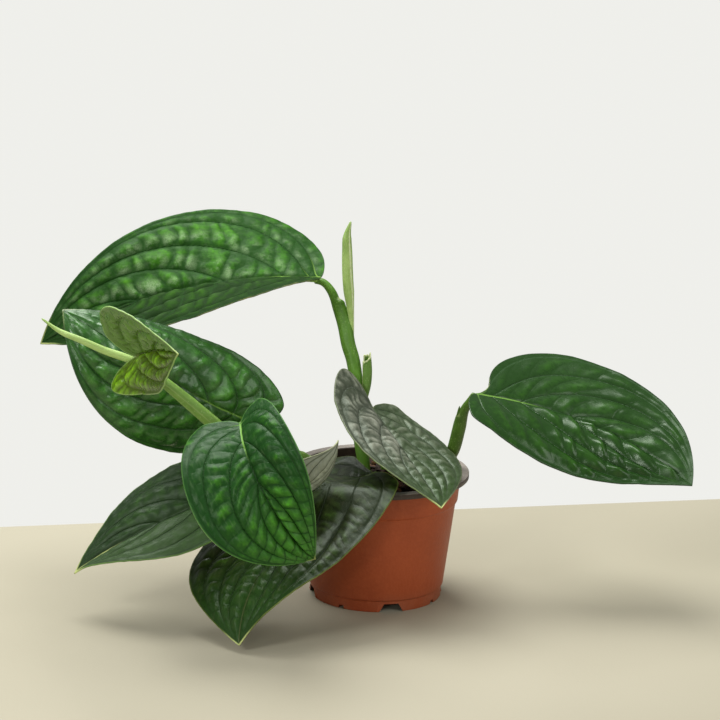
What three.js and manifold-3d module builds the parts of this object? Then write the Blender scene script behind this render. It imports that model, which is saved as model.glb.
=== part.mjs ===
// Quilted-leaf monstera in a plastic nursery pot, in millimetres.
// The origin is the middle of the pot's underside, +Z is up, and the plant's front faces -Y.
import * as THREE from "three";
import Module from "manifold-3d";
import { mergeVertices } from "three/addons/utils/BufferGeometryUtils.js";

const wasm = await Module();
wasm.setup();

// Pot
const potHeight = 75;
const rimRadius = 52.5;
const rimBand = 3.2;
const rimInnerRadius = 47.2;
const collarTopRadius = 47.6;
const collarRadius = 46.4;
const collarHeight = 58.5;
const collarStep = 1.1;
const bodyTopRadius = 45.3;
const bodyFootRadius = 39.5;
const grooveHeight = 7.4;
const footRadius = 38.4;
const grooveLip = 0.8;
const rimRounding = 0.7;
const potWall = 1.2;
const potFloor = 1.4;
const potSides = 48;

// Drain channels under the pot: wide ones and small ones take turns round the foot
const channelPairs = 4;
const firstWideChannel = -76;
const wideChannel = { bottom: 15.4, top: 8.4, height: 5, from: 15, roof: 1.3 };
const smallChannel = { bottom: 4.4, top: 3, height: 2.2, from: 30, roof: 1.3 };
const drainHoleRadius = 3;
const drainHoleAt = 26;

// Potting mix
const soilHeight = 68.8;
const soilMound = 1.6;
const soilLumps = 0.8;
const soilSides = 32;
const soilRings = 7;
const clumpSize = 10;

// Every piece keeps this much air to the piece that carries it
const gap = 0.3;

// Leaf blades
const bladeThickness = 0.8;
const ribThickness = 0.9;
const spineSteps = 24;
const bladeColumns = 14;

// Outline of half a blade: how its length is shared between the lobe, the swell to the widest
// place and the taper, and how full each of them is
const lobeEnd = 0.14;
const widestEnd = 0.44;
const lobeHeight = 0.46;
const sinusDepth = 0.45;
const sinusWidth = 0.02;
const lobeTurn = 0.22;
const lobeFullness = 0.42;
const crownFullness = 0.52;
const shoulderFullness = 0.42;
const tipReach = 0.18;

// Relief of a blade
const quiltHeight = 1.2;
const quiltDip = 0.45;
const outerQuilt = 0.5;
const fullQuiltWidth = 70;
const fullField = 0.25;
const edgeWave = 0.5;
const restMargin = 2;
const restHeight = 4;
const restSlope = 1.2;
const restSoftness = 1.2;

// Side veins of a blade, from the midrib outwards: the share of the half blade's width that a
// vein tends to, where it leaves the midrib, and how quickly it moves away from it
const veins = [
  { reach: 0.80, leaves: 0.33, swing: 0.25 },
  { reach: 0.88, leaves: 0.12, swing: 0.30 },
  { reach: 0.93, leaves: 0.035, swing: 0.15 },
];
const veinSpacing = 0.05;

// Stems
const stalkSides = 8;
const stalkStep = 6.5;
const sinusRadius = 6;

// Each blade: where the stalk meets it, which way it sets off and how it droops, sweeps and twists
// on its way, in degrees; fold is the angle that each half stands up at the midrib, curl is how far
// its edge bends back, and widest and lobe are shares of the length
const leaves = {
  upperLeft: {
    base: [-37.5, 47, 177.5], heading: -168, pitch: 5, roll: -10, length: 172.5,
    droop: 33, hook: 6.5, sweep: 7.5, twist: -36, fold: 24, lift: 4.5, tip: 0.54,
    left: { width: 53, widest: 0.38, lobe: 0.02, curl: -3 },
    right: { width: 52.5, widest: 0.29, lobe: 0.02, curl: -7 },
  },
  rearLeft: {
    base: [-78.5, -27.5, 110.5], heading: -144.5, pitch: 24.5, roll: -109, length: 125.5,
    droop: 41, hook: 12.5, sweep: -19, twist: 49, fold: -8, lift: 16.5, tip: 0.72,
    left: { width: 41, widest: 0.38, lobe: 0.09, curl: -19 },
    right: { width: 34.5, widest: 0.21, lobe: 0.16, curl: -35 },
  },
  front: {
    base: [-77.5, -80.5, 122], heading: -90, pitch: -11.5, roll: 34.5, length: 109.5,
    droop: 128, hook: 11, sweep: 5, twist: -8.5, fold: 16, lift: 8, tip: 0.17,
    left: { width: 29, widest: 0.35, lobe: 0.09, curl: -26 },
    right: { width: 39, widest: 0.43, lobe: 0.07, curl: 9 },
  },
  lowLeft: {
    base: [-80.5, -49, 75.5], heading: -172, pitch: -22, roll: -40.5, length: 104.5,
    droop: 8.5, hook: 9.5, sweep: 4, twist: 22.5, fold: 21.5, lift: 5, tip: 0.31,
    left: { width: 32, widest: 0.35, lobe: 0.05, curl: -29.5 },
    right: { width: 32.5, widest: 0.34, lobe: 0.06, curl: -35 },
  },
  table: {
    base: [-3, -33.5, 81.5], heading: -160, pitch: -24, roll: -5.5, length: 137.5,
    droop: 10.5, hook: 31.5, sweep: 45, twist: -1, fold: 4.5, lift: 7, tip: 0.57,
    left: { width: 41.5, widest: 0.38, lobe: 0.05, curl: -31 },
    right: { width: 50.5, widest: 0.63, lobe: -0.01, curl: 0.5 },
    restsOnRim: true, columns: 22, outerRows: 4,
  },
  folded: {
    columns: 10,
    base: [-54, -62, 75.5], heading: -15, pitch: 20.5, roll: 133.5, length: 47.5,
    droop: 60.5, hook: 12, sweep: 9.5, twist: 3.5, fold: -2, lift: 5, tip: 0.21,
    left: { width: 15, widest: 0.37, lobe: 0.12, curl: -34.5 },
    right: { width: 14.5, widest: 0.36, lobe: 0.12, curl: -22 },
  },
  centre: {
    base: [-4.5, 6.5, 109.5], heading: -61, pitch: -24.5, roll: -25.5, length: 91,
    droop: -5, hook: 9.5, sweep: -1.5, twist: 10.5, fold: 3, lift: 15.5, tip: 0.48,
    left: { width: 36.5, widest: 0.44, lobe: 0.07, curl: 11.5 },
    right: { width: 33, widest: 0.29, lobe: 0.27, curl: -20.5 },
  },
  right: {
    base: [54.5, -4, 123], heading: 24, pitch: -11.5, roll: 27.5, length: 142,
    droop: -17.5, hook: 0.5, sweep: -61.5, twist: 20, fold: 9.5, lift: -1, tip: 0.72,
    left: { width: 45.5, widest: 0.39, lobe: -0.08, curl: -7 },
    right: { width: 43, widest: 0.35, lobe: 0.07, curl: -26 },
  },
  young: {
    columns: 10,
    base: [-136, -73.5, 157], heading: -61, pitch: 23.5, roll: 108.5, length: 67.5,
    droop: -9.5, hook: -8, sweep: -14, twist: -3, fold: 26, lift: 18, tip: 0.26,
    left: { width: 35, widest: 0.32, lobe: 0.06, curl: -3.5 },
    right: { width: 23.5, widest: 0.35, lobe: 0.35, curl: -15 },
  },
};

const radians = THREE.MathUtils.degToRad;

// Solids

function toSolid(geometry) {
  const bare = geometry.clone();
  bare.deleteAttribute("normal");
  bare.deleteAttribute("uv");
  const merged = mergeVertices(bare, 1e-4);
  const mesh = new wasm.Mesh({
    numProp: 3,
    vertProperties: new Float32Array(merged.attributes.position.array),
    triVerts: new Uint32Array(merged.index.array),
  });
  mesh.merge();
  return new wasm.Manifold(mesh);
}

function toGeometry(solid) {
  const mesh = solid.getMesh();
  const geometry = new THREE.BufferGeometry();
  geometry.setAttribute("position", new THREE.BufferAttribute(mesh.vertProperties, 3));
  geometry.setIndex(new THREE.BufferAttribute(mesh.triVerts, 1));
  return geometry;
}

// A lathe profile of [radius, height] pairs, turned about Z
function turned(profile, sides) {
  const points = profile.map(([radius, height]) => new THREE.Vector2(radius, height));
  return new THREE.LatheGeometry(points, sides).rotateX(Math.PI / 2);
}

// Stems and stalks

// A round stem along a route; a grown one is thicker and longer all round
function stalk({ route, radii }, grow = 0) {
  const curve = new THREE.CatmullRomCurve3(route.map((p) => new THREE.Vector3(...p)), false, "centripetal");
  const steps = Math.max(4, Math.round(curve.getLength() / stalkStep));
  const frames = curve.computeFrenetFrames(steps, false);
  const positions = [];
  const indices = [];
  const ends = {};
  for (let i = 0; i <= steps; i++) {
    const centre = curve.getPointAt(i / steps);
    if (i === 0) centre.addScaledVector(frames.tangents[i], -grow);
    if (i === steps) centre.addScaledVector(frames.tangents[i], grow);
    ends[i] = centre;
    const place = (i / steps) * (radii.length - 1);
    const low = Math.min(Math.floor(place), radii.length - 2);
    const radius = THREE.MathUtils.lerp(radii[low], radii[low + 1], place - low) + grow;
    for (let k = 0; k < stalkSides; k++) {
      const angle = (k / stalkSides) * 2 * Math.PI;
      const point = centre.clone();
      point.addScaledVector(frames.normals[i], radius * Math.cos(angle));
      point.addScaledVector(frames.binormals[i], radius * Math.sin(angle));
      positions.push(...point.toArray());
    }
  }
  positions.push(...ends[0].toArray(), ...ends[steps].toArray());
  const startCentre = (steps + 1) * stalkSides;
  for (let k = 0; k < stalkSides; k++) {
    const next = (k + 1) % stalkSides;
    for (let i = 0; i < steps; i++) {
      const a = i * stalkSides + k;
      const b = i * stalkSides + next;
      indices.push(a, b, a + stalkSides, b, b + stalkSides, a + stalkSides);
    }
    indices.push(startCentre, next, k);
    indices.push(startCentre + 1, steps * stalkSides + k, steps * stalkSides + next);
  }
  const geometry = new THREE.BufferGeometry();
  geometry.setAttribute("position", new THREE.Float32BufferAttribute(positions, 3));
  geometry.setIndex(indices);
  return toSolid(geometry);
}

// Leaf blades

// The midrib as a chain of points, each with its direction and the upper face's normal
function traceMidrib(leaf) {
  const heading = radians(leaf.heading);
  const pitch = radians(leaf.pitch);
  const level = Math.cos(pitch);
  const along = new THREE.Vector3(level * Math.cos(heading), level * Math.sin(heading), Math.sin(pitch));
  const normal = new THREE.Vector3(0, 0, 1).addScaledVector(along, -along.z).normalize();
  normal.applyAxisAngle(along, radians(leaf.roll));
  const at = new THREE.Vector3(...leaf.base);
  const spine = [{ at: at.clone(), along: along.clone(), normal: normal.clone() }];
  for (let i = 0; i < spineSteps; i++) {
    const share = (i + 0.5) / spineSteps;
    const side = new THREE.Vector3().crossVectors(normal, along);
    const droop = radians(leaf.droop + 4 * leaf.hook * share ** 3) / spineSteps;
    along.applyAxisAngle(side, droop);
    normal.applyAxisAngle(side, droop);
    along.applyAxisAngle(normal, radians(leaf.sweep) / spineSteps).normalize();
    normal.applyAxisAngle(along, radians(leaf.twist) / spineSteps);
    normal.addScaledVector(along, -normal.dot(along)).normalize();
    at.addScaledVector(along, leaf.length / spineSteps);
    spine.push({ at: at.clone(), along: along.clone(), normal: normal.clone() });
  }
  return spine;
}

function bezier(points, u) {
  return new THREE.CubicBezierCurve(...points.map((p) => new THREE.Vector2(...p))).getPoint(u);
}

// Half a blade's outline from the stalk round the lobe to the tip, as [along, out]
function margin(leaf, side, t) {
  const { width, widest, lobe } = leaf[side];
  const length = leaf.length;
  const back = -lobe * length;
  const foot = [back, lobeHeight * width];
  const crown = [widest * length, width];
  if (t < lobeEnd) {
    const sinus = [[0, 0], [sinusDepth * back, sinusWidth * width], [back, lobeTurn * width], foot];
    return bezier(sinus, t / lobeEnd);
  }
  if (t < widestEnd) {
    const rise = lobeHeight + (1 - lobeHeight) * lobeFullness;
    const lead = (widest - (widest + lobe) * crownFullness) * length;
    const swell = [foot, [back, rise * width], [lead, width], crown];
    return bezier(swell, (t - lobeEnd) / (widestEnd - lobeEnd));
  }
  const shoulder = (widest + (1 - widest) * shoulderFullness) * length;
  const taper = [length * (1 - tipReach), width * leaf.tip];
  return bezier([crown, [shoulder, width], taper, [length, 0]], (t - widestEnd) / (1 - widestEnd));
}

const alongMidrib = (t) => t ** 1.5;

// Where a vein runs at a share of the midrib, as a share of the half blade's width
function veinAt(index, share) {
  const { reach, leaves: start, swing } = veins[index];
  const near = veinSpacing * (index + 1);
  return near + (reach - near) * (1 - Math.exp(-Math.max(0, share - start) / swing));
}

// Lifts a blade that lies over the pot so that it rests on the rim and bends down outside it
function restOnRim(point) {
  const outside = Math.max(0, Math.hypot(point.x, point.y) - rimRadius - restMargin);
  const rest = potHeight + restHeight - outside * restSlope;
  const above = (point.z - rest) / restSoftness;
  point.z = rest + restSoftness * (above < 30 ? Math.log1p(Math.exp(above)) : above);
}

// A point of the blade: x along the midrib, y out to one side, raised by height
function placeOnBlade(leaf, spine, x, y, side, height) {
  const place = THREE.MathUtils.clamp(x / leaf.length, 0, 1) * spineSteps;
  const low = Math.min(Math.floor(place), spineSteps - 1);
  const point = spine[low].at.clone().lerp(spine[low + 1].at, place - low);
  const along = spine[low].along.clone().lerp(spine[low + 1].along, place - low).normalize();
  const normal = spine[low].normal.clone().lerp(spine[low + 1].normal, place - low);
  normal.addScaledVector(along, -normal.dot(along)).normalize();
  const left = new THREE.Vector3().crossVectors(normal, along);
  if (x < 0) {
    const lift = radians(leaf.lift);
    point.addScaledVector(along, x * Math.cos(lift)).addScaledVector(normal, -x * Math.sin(lift));
  }
  const sign = side === "left" ? 1 : -1;
  const fold = radians(leaf.fold);
  const curl = radians(leaf[side].curl) / leaf[side].width;
  const turn = fold + curl * y;
  point.addScaledVector(left, (sign * (Math.sin(turn) - Math.sin(fold))) / curl);
  point.addScaledVector(normal, (Math.cos(fold) - Math.cos(turn)) / curl);
  point.addScaledVector(left, -sign * Math.sin(turn) * height);
  point.addScaledVector(normal, Math.cos(turn) * height);
  if (leaf.restsOnRim) restOnRim(point);
  return point;
}

// Rows of one half blade at a column, from the midrib outwards: each vein lies in a groove and
// the quilted fields between the veins stand up, higher in one column than in the next
function halfBladeRows(column, share, outerRows) {
  const rows = [];
  const swell = column % 2 ? 1 : quiltDip;
  let inner = 0;
  for (let k = 0; k < veins.length; k++) {
    const outer = veinAt(k, share);
    const fullness = Math.min(1, (outer - inner) / fullField);
    rows.push({ out: (inner + outer) / 2, height: quiltHeight * swell * fullness });
    rows.push({ out: outer, height: 0 });
    inner = outer;
  }
  for (let k = 1; k <= outerRows; k++) {
    const out = inner + ((1 - inner) * k) / (outerRows + 1);
    rows.push({ out, height: quiltHeight * swell * outerQuilt });
  }
  rows.push({ out: 1, height: edgeWave * (column % 2 ? 1 : -1) });
  return rows;
}

function bladeGeometry(leaf, grow = 0) {
  const spine = traceMidrib(leaf);
  const scale = Math.min(1, (leaf.left.width + leaf.right.width) / fullQuiltWidth);
  const columns = leaf.columns ?? bladeColumns;
  const outerRows = leaf.outerRows ?? 1;
  const middle = 2 * veins.length + outerRows + 1;
  const perColumn = 2 * middle + 1;
  const points = [];
  const thickness = [];
  for (let i = 0; i <= columns; i++) {
    const t = i / columns;
    const share = alongMidrib(t);
    if (i === 0 || i === columns) {
      points.push(placeOnBlade(leaf, spine, share * leaf.length, 0, "left", 0));
      thickness.push(bladeThickness);
      continue;
    }
    const column = new Array(perColumn);
    const rows = halfBladeRows(i, share, outerRows);
    column[middle] = placeOnBlade(leaf, spine, share * leaf.length, 0, "left", 0);
    for (const side of ["left", "right"]) {
      const edge = margin(leaf, side, t);
      rows.forEach(({ out, height }, k) => {
        const x = (1 - out) * share * leaf.length + out * edge.x;
        const index = side === "left" ? middle + k + 1 : middle - k - 1;
        column[index] = placeOnBlade(leaf, spine, x, out * edge.y, side, height * scale);
      });
    }
    points.push(...column);
    for (let j = 0; j < perColumn; j++) {
      thickness.push(bladeThickness + (j === middle ? ribThickness * (1 - share) : 0));
    }
  }
  const last = points.length - 1;
  const indexOf = (i, j) => (i === 0 ? 0 : i === columns ? last : 1 + (i - 1) * perColumn + j);
  const face = [];
  for (let i = 0; i < columns; i++) {
    for (let j = 0; j < perColumn - 1; j++) {
      const corners = [indexOf(i, j), indexOf(i + 1, j), indexOf(i + 1, j + 1), indexOf(i, j + 1)];
      if (i > 0) face.push(corners[0], corners[1], corners[3]);
      else face.push(corners[0], corners[1], corners[2]);
      if (i > 0 && i < columns - 1) face.push(corners[1], corners[2], corners[3]);
    }
  }
  const sheet = new THREE.BufferGeometry();
  sheet.setAttribute("position", new THREE.Float32BufferAttribute(points.flatMap((p) => p.toArray()), 3));
  sheet.setIndex(face);
  sheet.computeVertexNormals();
  const normals = sheet.attributes.normal;
  const positions = [];
  for (const under of [0, 1]) {
    points.forEach((point, k) => {
      const normal = new THREE.Vector3().fromBufferAttribute(normals, k);
      const offset = under ? -(thickness[k] - bladeThickness / 2 + grow) : bladeThickness / 2 + grow;
      positions.push(...point.clone().addScaledVector(normal, offset).toArray());
    });
  }
  const count = points.length;
  const indices = [...face];
  for (let k = 0; k < face.length; k += 3) {
    indices.push(face[k] + count, face[k + 2] + count, face[k + 1] + count);
  }
  for (let i = 0; i < columns; i++) {
    const right = [indexOf(i, 0), indexOf(i + 1, 0)];
    const left = [indexOf(i + 1, perColumn - 1), indexOf(i, perColumn - 1)];
    for (const [a, b] of [right, left]) {
      indices.push(a, a + count, b + count, a, b + count, b);
    }
  }
  const geometry = new THREE.BufferGeometry();
  geometry.setAttribute("position", new THREE.Float32BufferAttribute(positions, 3));
  geometry.setIndex(indices);
  return geometry;
}

// Stems, stalks and rolled new leaves: each has its route and its radii, spread evenly along it
const stems = {
  upright: {
    route: [
      [-8, 12, 46], [-8.5, 13, 70], [-11.5, 18, 87], [-13, 22, 104], [-15, 26, 121], [-17.5, 29, 132.5],
      [-21, 32, 140.5], [-24.5, 36, 151.5], [-27.5, 39, 160], [-31, 43, 170], [-37.6, 47.2, 176.5],
    ],
    radii: [3.4, 3.5, 3.5, 3.5, 3.6, 3.7, 3.4, 3, 2.8, 2.2],
  },
  uprightNewLeaf: {
    route: [
      [-19, 33, 140.5], [-18.5, 34, 146], [-20, 35, 161], [-21.5, 35, 179], [-22.5, 35, 197],
      [-23, 35, 206], [-21.5, 35, 214.5],
    ],
    radii: [3, 3, 3, 2.9, 2.7, 2.2, 0.5],
  },
  stub: {
    route: [[-11.5, 22, 106], [-9, 22, 119.5], [-9, 23, 131], [-9.5, 23, 139]],
    radii: [2.4, 2.4, 2.4, 1.8],
  },
  right: {
    route: [
      [35.5, 14, 46], [37.5, 13.5, 66], [40.5, 11, 78], [43.5, 7, 86.5], [46, 4, 98.5], [48.5, 0, 112],
      [51.5, -3, 118], [54.2, -3.7, 122.2],
    ],
    radii: [3.2, 3.2, 3.1, 3.1, 3.1, 3, 2.5, 2],
  },
  vine: {
    route: [
      [-26, 4, 46], [-27, 3, 66], [-32, 0.5, 73], [-39, -1.5, 77.5], [-46, -5, 82], [-53, -12, 86],
      [-60, -24, 89.5], [-67, -37, 93.5], [-81.5, -50, 103.5], [-95, -60, 117.5], [-106.5, -64, 128.5],
      [-119.5, -67, 140], [-128.5, -66.5, 147], [-136.5, -65, 152],
    ],
    radii: [3.4, 3.4, 3.4, 3.4, 3.4, 3.6, 3.6, 3.4, 2.8, 2.2],
  },
  leftNewLeaf: {
    route: [
      [-134, -65, 150.5], [-142, -65, 153.8], [-154, -66, 158], [-167, -66, 163.5], [-178.5, -64, 167.5],
      [-189.5, -61, 174],
    ],
    radii: [2.2, 2, 1.9, 1.7, 0.4],
  },
};

const stalks = {
  rear_left_stalk: {
    carries: "rearLeft", grows: "vine", radii: [2.2, 2, 1.8],
    route: [
      [-66, -36, 93], [-68.5, -28, 98.5], [-72.9, -22.6, 104.5], [-77.2, -23, 108.8], [-79, -26.5, 110.9],
    ],
  },
  front_stalk: {
    carries: "front", grows: "vine", radii: [2.3, 2.1, 1.8],
    route: [[-66, -36, 93], [-71, -50, 107], [-75, -66, 117.5], [-76.9, -80.3, 121.2]],
  },
  low_left_stalk: {
    carries: "lowLeft", grows: "vine", radii: [2.2, 2, 1.8],
    route: [[-64, -32, 91.5], [-69, -38, 83], [-75, -45, 76.5], [-80.3, -48.3, 74.8]],
  },
  folded_stalk: {
    carries: "folded", grows: "vine", radii: [1.8, 1.7, 1.5],
    route: [[-60, -24, 89.5], [-60.5, -38, 88], [-58.5, -52.5, 81], [-54, -61.2, 76.2]],
  },
  young_stalk: {
    carries: "young", grows: "vine", radii: [2, 1.8, 1.5],
    route: [[-121, -67, 141.5], [-129, -69.5, 150.5], [-134.8, -72.6, 157.5]],
  },
  table_stalk: {
    carries: "table", grows: "mix", radii: [2.4, 2.3, 2],
    route: [[3, -13, 50], [3, -16, 70], [1, -25, 77.5], [-2.6, -33.3, 80.6]],
  },
  centre_stalk: {
    carries: "centre", grows: "mix", radii: [2.5, 2.4, 2],
    route: [[3, 17, 50], [3.5, 16.5, 70], [2, 14, 90], [-5.5, 8, 103], [-5.9, 7.4, 107.9]],
  },
};

// Pot

// A trapezoid bar that runs outwards under the pot: what is cut for a channel or, thicker, its roof
function channelBar(shape, azimuth, thicker, reach) {
  const out = shape.bottom / 2 + thicker;
  const crown = shape.top / 2 + thicker;
  const low = thicker > 0 ? potFloor / 2 : -1;
  const high = shape.height + thicker;
  const corners = [[-out, low], [out, low], [crown, high], [-crown, high]];
  const outline = new THREE.Shape(corners.map(([x, y]) => new THREE.Vector2(x, y)));
  const start = shape.from - thicker;
  const bar = new THREE.ExtrudeGeometry(outline, { depth: reach - start, bevelEnabled: false });
  const across = new THREE.Vector3(0, 1, 0);
  const up = new THREE.Vector3(0, 0, 1);
  const outwards = new THREE.Vector3(1, 0, 0);
  bar.translate(0, 0, start).applyMatrix4(new THREE.Matrix4().makeBasis(across, up, outwards));
  return toSolid(bar.rotateZ(radians(azimuth)));
}

function forEachChannel(use) {
  const step = 360 / channelPairs;
  for (let k = 0; k < channelPairs; k++) {
    use(wideChannel, firstWideChannel + k * step);
    use(smallChannel, firstWideChannel + (k + 0.5) * step);
  }
}

function potShell() {
  const stepHeight = collarHeight - collarStep;
  const bandHeight = potHeight - rimBand;
  const profile = [
    [0, 0],
    [footRadius, 0],
    [footRadius, grooveHeight - grooveLip],
    [bodyFootRadius, grooveHeight],
    [bodyTopRadius, stepHeight],
    [collarRadius, collarHeight],
    [collarTopRadius, bandHeight],
    [rimRadius - rimRounding, bandHeight],
    [rimRadius, bandHeight + rimRounding],
    [rimRadius, potHeight - rimRounding],
    [rimRadius - rimRounding, potHeight],
    [rimInnerRadius, potHeight],
    [collarTopRadius - potWall, potHeight - rimRounding],
    [collarRadius - potWall, collarHeight],
    [bodyTopRadius - potWall, stepHeight],
    [bodyFootRadius - potWall, grooveHeight],
    [footRadius - potWall, potFloor],
    [0, potFloor],
  ];
  let pot = toSolid(turned(profile, potSides));
  const within = footRadius - potWall / 2;
  const trim = toSolid(turned([[0, 0], [within, 0], [within, grooveHeight], [0, grooveHeight]], potSides));
  forEachChannel((shape, azimuth) => {
    pot = pot.add(channelBar(shape, azimuth, shape.roof, footRadius).intersect(trim));
  });
  forEachChannel((shape, azimuth) => {
    pot = pot.subtract(channelBar(shape, azimuth, 0, rimRadius));
  });
  for (let k = 0; k < channelPairs; k++) {
    const hole = new THREE.CylinderGeometry(drainHoleRadius, drainHoleRadius, 2 * grooveHeight, 16);
    hole.rotateX(Math.PI / 2).translate(drainHoleAt, 0, 0);
    hole.rotateZ(radians(firstWideChannel + (k * 360) / channelPairs));
    pot = pot.subtract(toSolid(hole));
  }
  return pot;
}

// How far the mix stands up at a place, from -1 to 1 or so
function lumpAt(x, y) {
  const turn = (2 * Math.PI) / clumpSize;
  const broad = Math.sin(x * turn) * Math.cos(y * turn);
  return 0.6 * broad + 0.4 * Math.sin((2 * x - y) * turn);
}

// The mix fills the pot and lies a little higher in the middle, with lumps all over
function pottingMix() {
  const edge = collarTopRadius - potWall - 3 * gap;
  const profile = [
    [0, potFloor + gap],
    [footRadius - potWall - gap, potFloor + gap],
    [bodyFootRadius - potWall - gap, grooveHeight],
    [bodyTopRadius - potWall - gap, collarHeight - collarStep],
    [collarRadius - potWall - gap, collarHeight + gap],
  ];
  for (let k = 0; k <= soilRings; k++) profile.push([edge * (1 - k / soilRings), soilHeight]);
  const geometry = turned(profile, soilSides);
  const position = geometry.attributes.position;
  for (let k = 0; k < position.count; k++) {
    const x = position.getX(k);
    const y = position.getY(k);
    const inward = 1 - Math.hypot(x, y) / edge;
    if (position.getZ(k) < soilHeight - gap) continue;
    const lumps = soilLumps * lumpAt(x, y) * Math.min(1, inward * soilRings);
    position.setZ(k, soilHeight + soilMound * inward + lumps);
  }
  let mix = toSolid(geometry);
  forEachChannel((shape, azimuth) => {
    mix = mix.subtract(channelBar(shape, azimuth, shape.roof + gap, footRadius));
  });
  return mix;
}

// The whole object

const plant = new THREE.Group();

// Adds a piece without the slivers that a cut may have left beside it
function add(name, solid, color, roughness) {
  const bodies = solid.decompose().sort((a, b) => b.volume() - a.volume());
  const geometry = toGeometry(bodies[0]);
  geometry.computeVertexNormals();
  const mesh = new THREE.Mesh(geometry, new THREE.MeshStandardMaterial({ color, roughness, metalness: 0 }));
  mesh.name = name;
  plant.add(mesh);
}

// A stalk that ends just under the blade it carries: a ball that touches the seat takes off what
// reaches through the sinus between the blade's lobes
function seated(solid, leaf) {
  const { normal } = traceMidrib(leaf)[0];
  const seat = bladeThickness / 2 + ribThickness / 2 + gap;
  const centre = new THREE.Vector3(...leaf.base).addScaledVector(normal, sinusRadius - seat);
  const ball = new THREE.SphereGeometry(sinusRadius, 16, 10).translate(...centre.toArray());
  return solid.subtract(toSolid(ball)).subtract(toSolid(bladeGeometry(leaf, 2 * gap)));
}

add("nursery_pot", potShell(), "#98482c", 0.55);

let mix = pottingMix();
for (const piece of [stems.upright, stems.right, stems.vine, stalks.table_stalk, stalks.centre_stalk]) {
  mix = mix.subtract(stalk(piece, gap));
}
add("potting_mix", mix, "#3a2a20", 0.95);

add("upright_stem", seated(stalk(stems.upright), leaves.upperLeft), "#6f9a45", 0.5);
add("right_stem", seated(stalk(stems.right), leaves.right), "#55733a", 0.5);
add("left_vine", stalk(stems.vine), "#6f9a45", 0.5);
add("upright_new_leaf", stalk(stems.uprightNewLeaf).subtract(stalk(stems.upright, gap)), "#96b56a", 0.45);
add("sheath_stub", stalk(stems.stub).subtract(stalk(stems.upright, gap)), "#86a05a", 0.6);
add("left_new_leaf", stalk(stems.leftNewLeaf).subtract(stalk(stems.vine, gap)), "#a3bd76", 0.45);

for (const [name, piece] of Object.entries(stalks)) {
  let solid = seated(stalk(piece), leaves[piece.carries]);
  if (piece.grows === "vine") solid = solid.subtract(stalk(stems.vine, gap));
  add(name, solid, "#6a8f45", 0.5);
}

const finishes = {
  upperLeft: ["upper_left_leaf", "#356b2c", 0.4],
  rearLeft: ["rear_left_leaf", "#1f4a22", 0.32],
  front: ["front_leaf", "#2c6b2b", 0.4],
  lowLeft: ["low_left_leaf", "#2f4a30", 0.38],
  table: ["table_leaf", "#26401f", 0.35],
  folded: ["folded_leaf", "#7a8170", 0.6],
  centre: ["centre_leaf", "#66745f", 0.6],
  right: ["right_leaf", "#2b5a28", 0.3],
  young: ["young_leaf", "#5f7d3a", 0.4],
};
for (const [key, [name, color, roughness]] of Object.entries(finishes)) {
  add(name, toSolid(bladeGeometry(leaves[key])), color, roughness);
}

export default plant;
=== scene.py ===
import math

import bpy
import numpy as np
from mathutils import Matrix, Vector, noise


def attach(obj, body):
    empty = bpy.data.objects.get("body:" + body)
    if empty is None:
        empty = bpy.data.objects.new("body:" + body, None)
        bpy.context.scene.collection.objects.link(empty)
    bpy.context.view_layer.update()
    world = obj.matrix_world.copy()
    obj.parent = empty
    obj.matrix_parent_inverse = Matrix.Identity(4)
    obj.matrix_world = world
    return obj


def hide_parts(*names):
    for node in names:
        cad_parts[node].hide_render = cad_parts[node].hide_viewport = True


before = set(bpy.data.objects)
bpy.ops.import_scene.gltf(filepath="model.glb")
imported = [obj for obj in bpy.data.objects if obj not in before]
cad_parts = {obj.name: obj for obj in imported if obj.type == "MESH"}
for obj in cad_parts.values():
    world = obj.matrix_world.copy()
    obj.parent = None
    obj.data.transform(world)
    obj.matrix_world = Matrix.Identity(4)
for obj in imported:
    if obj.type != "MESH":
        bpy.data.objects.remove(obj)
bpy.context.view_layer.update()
mm = 0.001
fullTurn = 2 * math.pi
weldDistance = 2e-6


# small helpers

def freshStart():
    if bpy.context.object and bpy.context.object.mode != "OBJECT":
        bpy.ops.object.mode_set(mode="OBJECT")
    bpy.ops.object.select_all(action="DESELECT")


def pickOnly(piece):
    freshStart()
    piece.select_set(True)
    bpy.context.view_layer.objects.active = piece


def modify(piece, kind, **settings):
    modifier = piece.modifiers.new(kind.lower(), kind)
    for name, value in settings.items():
        setattr(modifier, name, value)
    pickOnly(piece)
    bpy.ops.object.modifier_apply(modifier=modifier.name)


def joinPieces(pieces):
    freshStart()
    for piece in pieces:
        piece.select_set(True)
    bpy.context.view_layer.objects.active = pieces[0]
    bpy.ops.object.join()
    return bpy.context.object


def smoothByAngle(piece, degrees):
    pickOnly(piece)
    bpy.ops.object.shade_smooth_by_angle(angle=math.radians(degrees))


def openMesh(action="SELECT"):
    bpy.ops.object.mode_set(mode="EDIT")
    bpy.ops.mesh.select_all(action=action)


def shutMesh():
    bpy.ops.object.mode_set(mode="OBJECT")
    return bpy.context.object


def facesOut():
    bpy.ops.mesh.select_all(action="SELECT")
    bpy.ops.mesh.normals_make_consistent(inside=False)


def fillOpenEdges():
    bpy.ops.mesh.select_all(action="DESELECT")
    bpy.ops.mesh.select_non_manifold(extend=False)
    bpy.ops.mesh.edge_face_add()
    facesOut()


def weld(piece):
    pickOnly(piece)
    openMesh()
    bpy.ops.mesh.remove_doubles(threshold=weldDistance)
    facesOut()
    shutMesh()


def closeEnds(piece):
    pickOnly(piece)
    openMesh()
    fillOpenEdges()
    shutMesh()
    bpy.ops.object.shade_smooth()


def dress(piece, *materials):
    piece.data.materials.clear()
    for material in materials:
        piece.data.materials.append(material)


def finishPiece(piece, name, slot, *nodes):
    piece.name = name
    piece.data.name = name
    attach(piece, "root")
    if nodes:
        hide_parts(*nodes)


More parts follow.
